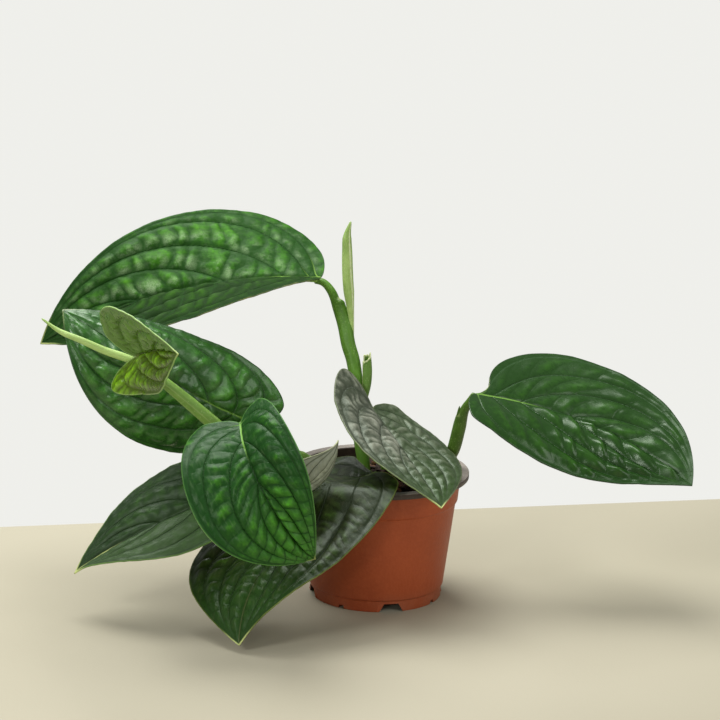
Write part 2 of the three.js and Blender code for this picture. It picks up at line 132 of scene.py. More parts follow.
# a grid primitive, with each of its points as a share along and a share across
def gridSheet(along, across):
    freshStart()
    bpy.ops.mesh.primitive_grid_add(x_subdivisions=along, y_subdivisions=across, size=2)
    sheet = bpy.context.object
    co = np.empty(len(sheet.data.vertices) * 3)
    sheet.data.vertices.foreach_get("co", co)
    co = co.reshape(-1, 3)
    return sheet, (co[:, 0] + 1) / 2, (co[:, 1] + 1) / 2


# points in millimetres
def setPoints(piece, points):
    piece.data.vertices.foreach_set("co", np.ascontiguousarray(points * mm, float).ravel())
    piece.data.update()


# facts of the points that a material reads: one value each, or one value for all
def setFacts(piece, **facts):
    for name, values in facts.items():
        values = np.broadcast_to(values, len(piece.data.vertices))
        layer = piece.data.attributes.new(name, "FLOAT", "POINT")
        layer.data.foreach_set("value", np.ascontiguousarray(values, np.float32))


def setUv(piece, u, v):
    loops = np.empty(len(piece.data.loops), np.int32)
    piece.data.loops.foreach_get("vertex_index", loops)
    layer = piece.data.uv_layers[0]
    layer.data.foreach_set("uv", np.stack([u[loops], v[loops]], 1).astype(np.float32).ravel())


def unit(v):
    return v / np.maximum(np.linalg.norm(v, axis=-1, keepdims=True), 1e-12)


def turnAbout(v, axis, angle):
    c, s = math.cos(angle), math.sin(angle)
    return v * c + np.cross(axis, v) * s + axis * (axis @ v) * (1 - c)


def smoothStep(low, high, x):
    t = np.clip((x - low) / (high - low), 0, 1)
    return t * t * (3 - 2 * t)


def bell(x, width):
    return np.exp(-(x / width) ** 2)


# rows of a list at places that lie between its own
def between(rows, at):
    low = np.minimum(at.astype(int), len(rows) - 2)
    f = (at - low)[:, None]
    return rows[low] * (1 - f) + rows[low + 1] * f


# materials

def rgb(code):
    parts = [int(code[k:k + 2], 16) / 255 for k in (1, 3, 5)]
    return [p / 12.92 if p <= 0.04045 else ((p + 0.055) / 1.055) ** 2.4 for p in parts] + [1]


class Finish:
    # a node material that is built up step by step
    def __init__(self, name, roughness, specular=0.5):
        self.material = bpy.data.materials.new(name)
        self.material.use_nodes = True
        self.nodes = self.material.node_tree.nodes
        self.links = self.material.node_tree.links
        self.shader = self.nodes["Principled BSDF"]
        self.fix({"Roughness": roughness, "Specular IOR Level": specular})
        places = self.node("TexCoord", {})
        self.place = places["Object"]
        self.uv = self.stretched(places["UV"], (0.1, 0.1, 0.1))  # in metres: a UV unit is 100 mm

    def plug(self, value, socket):
        if isinstance(value, bpy.types.NodeSocket):
            self.links.new(value, socket)
        elif value is not None:
            socket.default_value = rgb(value) if isinstance(value, str) else value

    def fix(self, values):
        for name, value in values.items():
            self.shader.inputs[name].default_value = value

    def node(self, kind, values, **settings):
        node = self.nodes.new("ShaderNode" + kind)
        for name, value in settings.items():
            setattr(node, name, value)
        for key, value in values.items():
            self.plug(value, node.inputs[key])
        return node.outputs

    def attributes(self, *names):
        return [self.node("Attribute", {}, attribute_name=name)["Fac"] for name in names]

    def math(self, operation, a, b):
        return self.node("Math", {0: a, 1: b}, operation=operation)[0]

    def times(self, value, *others):
        for other in others:
            value = self.math("MULTIPLY", value, other)
        return value

    def plus(self, value, *others):
        for other in others:
            value = self.math("ADD", value, other)
        return value

    def aboutZero(self, pattern, size):
        return self.times(self.math("SUBTRACT", pattern, 0.5), size)

    def spread(self, value, low, high, start=0.0, end=1.0):
        values = {"Value": value, "From Min": low, "From Max": high, "To Min": start, "To Max": end}
        return self.node("MapRange", values, interpolation_type="SMOOTHSTEP")[0]

    def stretched(self, place, scale):
        return self.node("Mapping", {"Vector": place, "Scale": scale})[0]

    def grain(self, size, place=None, detail=3.0, roughness=0.5):
        return self.node("TexNoise", {"Vector": place or self.place, "Scale": 1 / size, "Detail": detail,
                                      "Roughness": roughness})["Fac"]

    def cells(self, size, place=None):
        return self.node("TexVoronoi", {"Vector": place or self.place, "Scale": 1 / size})["Distance"]

    # lays colours over one another, each by the product of its shares; 6 and 7 are the colour sockets
    def paint(self, colour, *layers):
        for tone, *shares in layers:
            colour = self.node("Mix", {0: self.times(*shares), 6: colour, 7: tone}, data_type="RGBA")[2]
        return colour

    def relief(self, *layers):
        normal = None
        for height, depth in layers:
            normal = self.node("Bump", {"Distance": depth, "Height": height, "Normal": normal})["Normal"]
        return normal

    def done(self, colour, roughness=None, normal=None):
        for name, value in {"Base Color": colour, "Roughness": roughness, "Normal": normal}.items():
            self.plug(value, self.shader.inputs[name])
        return self.material


# leaf form: the same outline and midrib as the solid's, in millimetres

outline = {"lobeEnd": 0.14, "widestEnd": 0.44, "lobeHeight": 0.46, "sinusDepth": 0.45, "sinusWidth": 0.02,
           "lobeTurn": 0.22, "lobeFullness": 0.42, "crownFullness": 0.52, "shoulderFullness": 0.42,
           "tipReach": 0.18, "spineSteps": 24}
rimRest = {"rimRadius": 52.5, "potHeight": 75, "margin": 2, "height": 4.4, "slope": 1.2, "softness": 2.4,
           "round": 2.2}
# veins leave the midrib, swing out and come near the edge
veinSwing = {"reach": 0.97, "reachLoss": 0.55, "swing": 0.08, "swingGain": 1.8, "swingMost": 0.3}
quiltForm = {"veinWidth": 0.8, "ribWidth": 1.2, "steepness": 1.3, "ribDepth": 0.9, "rippleSize": 4.6,
             "fineSize": 1.9, "waveSize": 17, "waveReach": 9, "tiltVaries": 0.35, "shoveSize": 1.3,
             "stagger": 0.37, "uneven": 0.3, "leastPuff": 0.55, "morePuff": 0.75}
underRibForm = {"along": 60, "around": 10, "reach": 0.93, "taper": 0.85, "fall": 0.7, "sunk": 0.15}


def bezier(points, u):
    u = u[:, None]
    a, b, c, d = np.array(points, float)
    return (1 - u) ** 3 * a + 3 * (1 - u) ** 2 * u * b + 3 * (1 - u) * u * u * c + u ** 3 * d


def leafEdge(leaf, side, t):
    o = outline | leaf.get(side + "Outline", {})
    length, (width, widest, lobe, _) = leaf["length"], leaf[side]
    back = -lobe * length
    foot, crown = [back, o["lobeHeight"] * width], [widest * length, width]
    sinus = [[0, 0], [o["sinusDepth"] * back, o["sinusWidth"] * width], [back, o["lobeTurn"] * width], foot]
    rise = o["lobeHeight"] + (1 - o["lobeHeight"]) * o["lobeFullness"]
    lead = (widest - (widest + lobe) * o["crownFullness"]) * length
    shoulder = (widest + (1 - widest) * o["shoulderFullness"]) * length
    taper = [length * (1 - o["tipReach"]), width * leaf["tip"]]
    lobeEnd, widestEnd = o["lobeEnd"], o["widestEnd"]
    first = bezier(sinus, np.clip(t / lobeEnd, 0, 1))
    second = bezier([foot, [back, rise * width], [lead, width], crown],
                    np.clip((t - lobeEnd) / (widestEnd - lobeEnd), 0, 1))
    third = bezier([crown, [shoulder, width], taper, [length, 0]],
                   np.clip((t - widestEnd) / (1 - widestEnd), 0, 1))
    return np.where((t < lobeEnd)[:, None], first, np.where((t < widestEnd)[:, None], second, third))


def traceMidrib(leaf):
    steps = outline["spineSteps"]
    heading, pitch = math.radians(leaf["heading"]), math.radians(leaf["pitch"])
    level = math.cos(pitch)
    along = np.array([level * math.cos(heading), level * math.sin(heading), math.sin(pitch)])
    normal = unit(np.array([0, 0, 1.0]) - along * along[2])
    normal = turnAbout(normal, along, math.radians(leaf["roll"]))
    at = np.array(leaf["base"], float)
    places, ways, normals = [at.copy()], [along], [normal]
    for i in range(steps):
        share = (i + 0.5) / steps
        side = np.cross(normal, along)
        droop = math.radians(leaf["droop"] + 4 * leaf["hook"] * share ** 3) / steps
        along, normal = turnAbout(along, side, droop), turnAbout(normal, side, droop)
        along = unit(turnAbout(along, normal, math.radians(leaf["sweep"]) / steps))
        normal = turnAbout(normal, along, math.radians(leaf["twist"]) / steps)
        normal = unit(normal - along * (along @ normal))
        at = at + along * leaf["length"] / steps
        places.append(at)
        ways.append(along)
        normals.append(normal)
    return np.array(places), np.array(ways), np.array(normals)


# a smooth way from 0 to x itself, without the bend at 0
def softAbove(x):
    return np.log1p(np.exp(np.minimum(x, 30)))


def layOnRim(points):
    r = np.hypot(points[:, 0], points[:, 1])
    outside = rimRest["round"] * softAbove((r - rimRest["rimRadius"] - rimRest["margin"]) / rimRest["round"])
    floor = rimRest["potHeight"] + rimRest["height"] - outside * rimRest["slope"]
    above = (points[:, 2] - floor) / rimRest["softness"]
    points[:, 2] = np.where(above > 30, points[:, 2], floor + rimRest["softness"] * softAbove(above))


# a point of the blade: x along the midrib, y out from it (left is positive), raised by height
def placeOnLeaf(leaf, spine, x, y, height):
    places, ways, normals = spine
    at = np.clip(x / leaf["length"], 0, 1) * outline["spineSteps"]
    centre, along, normal = between(places, at), unit(between(ways, at)), between(normals, at)
    normal = unit(normal - along * (along * normal).sum(1, keepdims=True))
    left = np.cross(normal, along)
    over, lift = np.minimum(x, 0)[:, None], math.radians(leaf["lift"])
    centre = centre + along * over * math.cos(lift) - normal * over * math.sin(lift)
    sign = np.where(y < 0, -1, 1)
    fold = math.radians(leaf["fold"])
    bends = [math.radians(leaf[side][3]) / leaf[side][0] for side in ("left", "right")]
    bend = np.where(y < 0, bends[1], bends[0])
    turn = fold + bend * np.abs(y)
    lateral = sign * (np.sin(turn) - math.sin(fold)) / bend - sign * np.sin(turn) * height
    upward = (math.cos(fold) - np.cos(turn)) / bend + np.cos(turn) * height
    points = centre + left * lateral[:, None] + normal * upward[:, None]
    if leaf.get("restsOnRim"):
        layOnRim(points)
    return points


def veinOut(start, s):
    reach = veinSwing["reach"] - veinSwing["reachLoss"] * start
    swing = min(veinSwing["swing"] + veinSwing["swingGain"] * start, veinSwing["swingMost"])
    return reach * (1 - np.exp(-np.maximum(0, s - start) / swing))


# a place on half a blade laid flat: s runs along the midrib, out from it to the edge
def flatPoint(leaf, side, s, out):
    edge = leafEdge(leaf, side, np.clip(s, 0, 1) ** (2 / 3))
    return np.stack([(1 - out) * s * leaf["length"] + out * edge[:, 0], out * edge[:, 1]], 1)


def nearestOnLine(points, line):
    best = np.full(len(points), np.inf)
    for a, b in zip(line[:-1], line[1:]):
        ab = b - a
        f = np.clip((points - a) @ ab / max(ab @ ab, 1e-12), 0, 1)
        best = np.minimum(best, np.hypot(*(points - a - f[:, None] * ab).T))
    return best


def wander(x, y, z, size):
    return np.array([noise.noise(Vector((a / size, b / size, z))) for a, b in zip(x, y)])


# a share between 0 and 1 that belongs to one cell of one field
def drawOf(cell, k, seed):
    return np.abs(np.sin(cell * 12.9898 + k * 78.233 + seed * 3.7) * 43758.5453) % 1


# quilting of half a blade: distances to the midrib, to the side veins and to the cross veins
# between them, each cell's own draw, and how far out it lies between its two side veins
def quilt(leaf, side, s, out, flat, seed):
    starts = leaf["veins"]
    steps = np.linspace(0, 1, 61)
    veinDistance = np.full(len(s), np.inf)
    for start in starts:
        line = steps[steps > start - 1e-9]
        line = flatPoint(leaf, side, line, veinOut(start, line))
        veinDistance = np.minimum(veinDistance, nearestOnLine(flat, line))
    edges = [np.ones_like(s)] + [veinOut(start, s) for start in starts] + [np.zeros_like(s)]
    field = np.zeros(len(s), int)
    for k in range(1, len(edges) - 1):
        field[out < edges[k]] = k
    crossDistance, draw, lean = np.zeros((3, len(s)))
    halfWidth = flatPoint(leaf, side, s, np.ones_like(s))[:, 1]
    for k in range(len(edges) - 1):
        here = field == k
        if not here.any():
            continue
        outer = np.ones_like(steps) if k == 0 else veinOut(starts[k - 1], steps)
        inner = veinOut(starts[k], steps) if k < len(starts) else np.zeros_like(steps)
        middle = flatPoint(leaf, side, steps, (outer + inner) / 2)
        run = np.concatenate([[0], np.cumsum(np.hypot(*np.diff(middle, axis=0).T))])
        span = np.maximum(edges[k][here] - edges[k + 1][here], 1e-3)
        across = (out[here] - edges[k + 1][here]) / span
        width = span * halfWidth[here]
        x, y = flat[here].T
        bow = leaf["bow"] * width * (1 - (2 * across - 1) ** 2)
        tilt = leaf["slant"] + quiltForm["tiltVaries"] * math.sin(k * 2.4 + seed)
        place = np.interp(s[here], steps, run) + tilt * (across - 0.5) * width + bow
        shove = leaf["jitter"] * wander(x, y, seed + k * 4.3, leaf["cell"] * quiltForm["shoveSize"])
        place = place / leaf["cell"] + shove + quiltForm["stagger"] * k
        cell = np.floor(place)
        shift = quiltForm["uneven"] * (drawOf(cell, k, seed + 2) - 0.5)
        place = place + shift * np.sin((place - cell) * math.pi) ** 2
        within = (place - np.floor(place)) ** leaf["shingle"]
        crossDistance[here] = (0.5 - np.abs(within - 0.5)) * leaf["cell"]
        draw[here] = drawOf(np.floor(place), k, seed)
        lean[here] = across
    return flat[:, 1].copy(), veinDistance, crossDistance, draw, lean


def growLeaf(node, leaf, seed):
    sheet, t, v = gridSheet(*leaf["mesh"])
    r = v * 2 - 1
    s = t ** 1.5
    spine = traceMidrib(leaf)
    flat, facts, rim = np.zeros((len(t), 2)), np.zeros((5, len(t))), np.zeros(len(t))
    margin = np.linspace(0, 1, 81) ** 1.5
    for side, half in (("left", r >= 0), ("right", r < 0)):
        out = np.abs(r[half])
        edge = leafEdge(leaf, side, t[half])
        flat[half] = np.stack([(1 - out) * s[half] * leaf["length"] + out * edge[:, 0], out * edge[:, 1]], 1)
        facts[:, half] = quilt(leaf, side, s[half], out, flat[half], seed + (side == "left") * 5)
        rim[half] = nearestOnLine(flat[half], flatPoint(leaf, side, margin, np.ones(len(margin))))
    rib, vein, cross, draw, lean = facts
    x, y = flat[:, 0], np.where(r < 0, -1, 1) * flat[:, 1]
    puff = np.where(r < 0, leaf["puffs"][1], leaf["puffs"][0])
    puff = puff * (1 + leaf["tipSwell"] * smoothStep(0.3, 0.7, s))
    steep, ribWidth = quiltForm["steepness"], quiltForm["ribWidth"]
    swell = 1 - np.exp(-(np.minimum(vein, rib * ribWidth) / leaf["softness"]) ** steep)
    pillow = swell * (1 - np.exp(-(cross / (leaf["cell"] * leaf["dome"])) ** steep))
    calm = leaf["calm"] + (1 - leaf["calm"]) * smoothStep(leaf["calmFrom"], leaf["calmTo"], s)
    fade = smoothStep(-1, 9, rim) * calm
    bulge = quiltForm["leastPuff"] + quiltForm["morePuff"] * draw
    height = puff * (leaf["rollShare"] * swell + leaf["pillowShare"] * pillow * bulge) * fade
    ribHollow = bell(rib, ribWidth)
    veinHollow = leaf["groove"] * bell(vein, quiltForm["veinWidth"])
    height -= veinHollow * fade * smoothStep(0.95, 0.6, s) * (1 - ribHollow)
    height -= leaf["groove"] * quiltForm["ribDepth"] * ribHollow * smoothStep(0, 6, rim)
    height += leaf["ripple"] * (wander(x, y, seed, quiltForm["rippleSize"])
                                + leaf["fine"] * wander(x, y, seed + 3, quiltForm["fineSize"])
                                ) * (0.4 + 0.6 * calm) * smoothStep(1.08, 0.8, s)
    height += leaf["lumps"] * wander(x, y, seed + 11, leaf["cell"]) * swell * fade
    wave = leaf["wave"] * wander(x, y, seed + 7, quiltForm["waveSize"])
    height += wave * np.exp(-rim / quiltForm["waveReach"])
    setPoints(sheet, placeOnLeaf(leaf, spine, x, y, height - leaf["sink"]))
    setFacts(sheet, rib=rib, vein=vein, cross=cross, draw=draw, pillow=pillow * (0.4 + 0.6 * calm),
             rim=rim, along=s, half=r, calm=calm, lean=lean)
    setUv(sheet, x / 100 + 0.3, y / 100 + 0.5)
    weld(sheet)
    faceUp(sheet, spine)
    pickOnly(sheet)
    bpy.ops.object.shade_smooth()
    dress(sheet, *leafFinishes(node, leafLookCommon | leafLooks[leaf["look"]]))
    modify(sheet, "SOLIDIFY", thickness=leaf["thickness"] * mm, offset=0, material_offset=1,
           material_offset_rim=2)
    blade = joinPieces([sheet, underRib(leaf, spine, sheet.data.materials[1])])
    finishPiece(blade, node + "_blade", leaf["slot"], node)
    print("leaf", node, len(blade.data.vertices), "points")


# the midrib stands out under the blade and dies away towards the tip
def underRib(leaf, spine, material):
    form = underRibForm
    sheet, t, v = gridSheet(form["along"], form["around"])
    s = t * form["reach"]
    angle = v * fullTurn
    radius = leaf["ribRadius"] * (1 - form["taper"] * s ** form["fall"])
    depth = leaf["sink"] + leaf["groove"] * quiltForm["ribDepth"] + radius - form["sunk"]
    setPoints(sheet, placeOnLeaf(leaf, spine, s * leaf["length"], radius * np.cos(angle) + 1e-6,
                                 radius * np.sin(angle) - depth))
    setFacts(sheet, rib=9, vein=9, cross=9, draw=0.5, pillow=0, rim=9, along=0, half=0, calm=1, lean=0.5,
             stalkward=1 - s)
    setUv(sheet, s, v * 0.1)
    weld(sheet)
    closeEnds(sheet)
    dress(sheet, material)
    return sheet


# the blade's faces look the way of the upper side
def faceUp(sheet, spine):
    places, _, normals = spine
    middle = len(places) // 2
    at, up = Vector(places[middle] * mm), Vector(normals[middle])
    near = min(sheet.data.polygons, key=lambda face: (face.center - at).length)
    if near.normal.dot(up) < 0:
        pickOnly(sheet)
        openMesh()
        bpy.ops.mesh.flip_normals()
        shutMesh()


# leaf finishes: upper side, underside and margin

paleTip = "#c9d488"
# sizes of the patterns, in metres
grainSizes = {"patch": 0.03, "mottle": 0.0032, "speckle": 0.00055, "clump": 0.009, "streak": 0.0016}


def topFinish(node, look):
    top = Finish(node + "_top", look["roughness"], look["specular"])
    rib, vein, cross, pillow, draw, rim = top.attributes("rib", "vein", "cross", "pillow", "draw", "rim")
    along, half, calm, lean = top.attributes("along", "half", "calm", "lean")
    rough, rightShare = look["rough"], 1 - look["leftShare"]
    patches = top.grain(grainSizes["patch"])
    mottle = top.grain(grainSizes["mottle"], top.uv, detail=4, roughness=0.6)
    speckle = top.grain(grainSizes["speckle"], top.uv, detail=2)
    clumps = top.grain(grainSizes["clump"], top.uv, detail=4, roughness=0.65)
    streaks = top.grain(grainSizes["streak"], top.stretched(top.uv, (0.3, 1, 1)))
    # lit is painted light and shade from the relief: pillow tops painted lighter, the brightest in the
    # bright colour as a painted glow of light through the leaf, and valleys painted darker as shade; tipGlow
    # paints light towards the tip and shade towards the stalk; the draw of each cell, the mottle and the
    # patches are the leaf's own random tone
    lit = top.plus(top.times(pillow, 0.62), top.times(draw, 0.22), top.aboutZero(mottle, 0.9),
                   top.aboutZero(patches, 0.8),
                   top.spread(along, 0.3, 0.8, -look["tipGlow"], look["tipGlow"]))
    # painted haze: streaks of the pale sheen colour over the blade stand in for the haze of reflected light;
    # on the young leaf the same streaks give its own brown stripes
    paintedHazeAndStripes = top.spread(half, -0.1, 0.1, look["paintedHazeAndStripes"], look["paintedHazeAndStripes"] * rightShare)
    # painted sheen: pale speckled patches of the sheen colour on the pillows' slopes stand in for a
    # reflection of the light
    paintedSheen = top.times(top.spread(speckle, 0.3, 0.7, 0.45, 1), top.spread(lean, 0.15, 0.75, 1, 0),
                      top.spread(half, -0.1, 0.1, 1, rightShare ** 2),
                      top.times(pillow, top.spread(clumps, 0.4, 0.62)))
    crossLine = top.times(top.spread(cross, 0.1, 0.9, look["ladder"], 0), calm)
    line = top.times(top.spread(vein, 0.15, 0.65, 1, 0), top.spread(along, 0.6, 1.0, 1, 0.35))
    fade = top.spread(along, 0.0, look["paleTo"], 1, 0)
    ribFade = top.spread(along, look["paleRib"] * 0.4, look["paleRib"], 1, 0)
    ribLine = top.spread(rib, 0.2, top.plus(0.6, top.times(ribFade, 0.35)), 1, 0)
    colour = top.paint(
        look["groove"],
        (look["field"], top.spread(lit, 0.1, 0.75)),
        (look["bright"], top.spread(lit, 0.52, 1.0, 0, look["glow"])),
        # the left half and the tip take leftTone: on the upper-left leaf a painted shade on the half that
        # faces away from the light, on the front leaf a lighter tone as painted light on its lower part
        (look["leftTone"], top.spread(half, -0.1, 0.1), look["leftShare"]),
        (look["leftTone"], top.spread(along, 0.3, 0.85, 0, look["tipShare"])),
        (look["stripeAndSheenTone"], top.spread(streaks, 0.5, 0.8), paintedHazeAndStripes),
        (look["stripeAndSheenTone"], paintedSheen, look["paintedSheen"]),
        (look["groove"], crossLine),
        (top.paint(look["vein"], (look["paleVein"], fade)), line, look["lines"]),
        (top.paint(look["vein"], (look["paleVein"], ribFade)), ribLine),
        (paleTip, top.spread(rib, 0.2, 0.7, look["tipRib"], 0), top.spread(along, 0.66, 0.8)),
        (look["rim"], top.spread(rim, 0.2, 0.75, look["rimShare"], 0)),
        (paleTip, top.spread(rim, 0.2, 1.1, look["tipEdge"], 0), top.spread(along, 0.86, 0.98)))
    relief = top.relief((speckle, 0.00012 * rough), (mottle, 0.0003 * rough),
                        (top.times(line, top.spread(rim, 2, 12)), -0.0003), (crossLine, -0.0002))
    gloss = top.plus(look["roughness"], top.aboutZero(mottle, 0.4 * rough), top.times(line, 0.15),
                     top.spread(along, 0.15, 0.6, look["dull"], 0),
                     top.spread(along, 0.75, 0.95, 0, look["tipRough"]),
                     top.spread(half, -0.15, 0.15, 0, look["leftDull"]))
    top.fix({"Coat Weight": look["wax"], "Coat Roughness": 0.3, "Specular Tint": (0.85, 1.0, 0.8, 1)})
    return top.done(colour, gloss, relief)


def underFinish(node, look):
    under = Finish(node + "_under", 0.55, 0.35)
    vein, rib, cross, stalkward = under.attributes("vein", "rib", "cross", "stalkward")
    raised = under.math("MAXIMUM", under.spread(vein, 0.3, 1.1, 1, 0), under.spread(rib, 0.6, 1.6, 1, 0))
    net = under.spread(cross, 0.1, 0.6, 0.5, 0)
    colour = under.paint(
        look["under"],
        (look["underDeep"], under.spread(under.grain(0.004, under.uv), 0.3, 0.7)),
        (look["underVein"], under.math("MAXIMUM", raised, net)),
        (look["paleVein"], stalkward))
    return under.done(colour, None, under.relief((under.plus(raised, net), 0.0006)))


def marginFinish(node, look):
    margin = Finish(node + "_margin", 0.45)
    along, = margin.attributes("along")
    return margin.done(margin.paint(
        look["rim"],
        (look["rimDeep"], margin.spread(margin.grain(0.006, detail=2), 0.35, 0.7)),
        (paleTip, margin.spread(along, 0.86, 0.98, 0, look["tipEdge"]))))


def leafFinishes(node, look):
    return [finish(node, look) for finish in (topFinish, underFinish, marginFinish)]


# in the looks, bright and glow paint light on the pillow tops and tipGlow paints light towards the tip; the
# pale sheen colour is painted as sheen patches and haze, and on the young leaf as its own brown stripes;
# leftTone paints shade on the upper-left leaf's front half and light on the front leaf's lower part
leafLookCommon = {
    "wax": 0, "rough": 0.5, "paintedSheen": 0, "leftShare": 0, "tipShare": 0, "paintedHazeAndStripes": 0.1, "lines": 0.8,
    "paleTo": 0.05, "paleRib": 0.1, "rimShare": 0.6, "under": "#7d8f53", "underDeep": "#6a7f42",
    "underVein": "#9aa868", "tipGlow": 0, "tipEdge": 0.9, "dull": 0, "leftDull": 0, "tipRough": 0.15,
    "tipRib": 0}
leafLooks = {
    "midGreen": {
        "roughness": 0.5, "specular": 0.12, "rough": 1.0, "paintedSheen": 1.5, "groove": "#224a16",
        "field": "#427d1c", "bright": "#62a427", "glow": 0.95, "leftShare": 0.68, "tipShare": 0.2,
        "leftTone": "#0a1a00", "stripeAndSheenTone": "#98b485", "paintedHazeAndStripes": 0.06, "ladder": 0.45, "vein": "#1b3c17",
        "paleVein": "#8ab34f", "paleTo": 0.12, "paleRib": 0.3, "rim": "#2c4f1c", "rimDeep": "#7c7f4c",
        "tipEdge": 0.6, "leftDull": 0.3},
    "frontGreen": {
        "roughness": 0.34, "specular": 0.12, "paintedSheen": 0.1, "groove": "#1c4218", "field": "#437f20",
        "bright": "#66d22c", "glow": 0.95, "tipShare": 0.5, "leftTone": "#52903a", "stripeAndSheenTone": "#7c9a6c",
        "paintedHazeAndStripes": 0.18, "ladder": 0.85, "vein": "#183613", "paleVein": "#7cab4e", "paleTo": 0.06,
        "paleRib": 0.3, "rim": "#5f9048", "rimDeep": "#7fa35c", "tipGlow": 0.14},
    "darkGreen": {
        "roughness": 0.26, "specular": 0.5, "wax": 0.1, "rough": 0.45, "paintedSheen": 0.5, "groove": "#2a561e",
        "field": "#407d25", "bright": "#5fa82c", "glow": 0.9, "leftTone": "#306d22", "stripeAndSheenTone": "#9aae94",
        "paintedHazeAndStripes": 0.07, "ladder": 0.3, "vein": "#1a3d16", "paleVein": "#7fae4a", "paleTo": 0.06,
        "paleRib": 0.35, "rim": "#1e3a1a", "rimDeep": "#2f4a2a", "rimShare": 0.5, "tipEdge": 0.2,
        "tipRough": 0},
    "lowGreen": {
        "roughness": 0.4, "specular": 0.25, "rough": 0.6, "groove": "#1e3516", "field": "#2b4b17",
        "bright": "#44772a", "glow": 0.7, "leftShare": 0.35, "leftTone": "#557044", "stripeAndSheenTone": "#8a9a7c",
        "paintedHazeAndStripes": 0.07, "ladder": 0.05, "vein": "#22351b", "paleVein": "#6f934c", "paleRib": 0.12,
        "rim": "#6f9348", "rimDeep": "#5f7f3a", "tipRib": 0.8},
    "olive": {
        "roughness": 0.3, "specular": 0.26, "paintedSheen": 0.15, "groove": "#1a240b", "field": "#33481a",
        "bright": "#669c33", "glow": 0.6, "tipShare": 0.7, "leftTone": "#244a15", "stripeAndSheenTone": "#8d8468",
        "ladder": 0.25, "lines": 0.45, "vein": "#19260d", "paleVein": "#4f5f2c", "rim": "#6f7f35",
        "rimDeep": "#57592c", "under": "#6d7d45", "underDeep": "#5a6f35", "underVein": "#8a9858",
        "dull": 0.04, "tipRib": 0.12},
    "greyGreen": {
        "roughness": 0.38, "specular": 0.4, "rough": 0.7, "paintedSheen": 0.2, "groove": "#3f4637",
        "field": "#888b7b", "bright": "#999d8f", "glow": 0.9, "leftShare": 0.55, "tipShare": 0.72,
        "leftTone": "#30491f", "stripeAndSheenTone": "#a5aa98", "ladder": 0.15, "lines": 0.7, "vein": "#28311f",
        "paleVein": "#4f5c42", "rim": "#7b8460", "rimDeep": "#73894f", "rimShare": 0.5, "under": "#838d66",
        "underDeep": "#747f58", "underVein": "#99a379"},
    "palm": {
        "roughness": 0.5, "specular": 0.4, "rough": 1.0, "paintedSheen": 0.2, "groove": "#a0a692",
        "field": "#c8cebb", "bright": "#d6dbcc", "glow": 0.5, "leftShare": 0.75, "leftTone": "#979c8c",
        "stripeAndSheenTone": "#c9ccba", "paintedHazeAndStripes": 0.3, "ladder": 0.25, "vein": "#565c4b", "paleVein": "#8c9578",
        "rim": "#b3b790", "rimDeep": "#9da380", "under": "#b3b89c", "underDeep": "#a5ac90",
        "underVein": "#c3c7aa", "tipEdge": 0.3},
    "glossGreen": {
        "roughness": 0.24, "specular": 0.45, "wax": 0.1, "rough": 0.25, "groove": "#1b3d0e",
        "field": "#29540f", "bright": "#397020", "glow": 0.5, "leftTone": "#326b1f", "stripeAndSheenTone": "#7c9a70",
        "paintedHazeAndStripes": 0.02, "ladder": 0.6, "vein": "#1f4416", "paleVein": "#7aa64a", "paleTo": 0.06,
        "paleRib": 0.35, "rim": "#24401c", "rimDeep": "#2a4426", "tipEdge": 0, "leftDull": 0.04},
    "youngOlive": {
        "roughness": 0.24, "specular": 0.5, "groove": "#445a0c", "field": "#6c9a18", "bright": "#9ad41e",
        "glow": 1, "leftShare": 0.85, "leftTone": "#4e7424", "stripeAndSheenTone": "#a08a3a", "ladder": 0.05,
        "lines": 0.08, "vein": "#4f6218", "paleVein": "#5b6a2c", "rim": "#9dbf72", "rimDeep": "#8fb060",
        "under": "#7f9a3c", "underDeep": "#6e8a34", "underVein": "#8ea650", "tipEdge": 0.5},
}

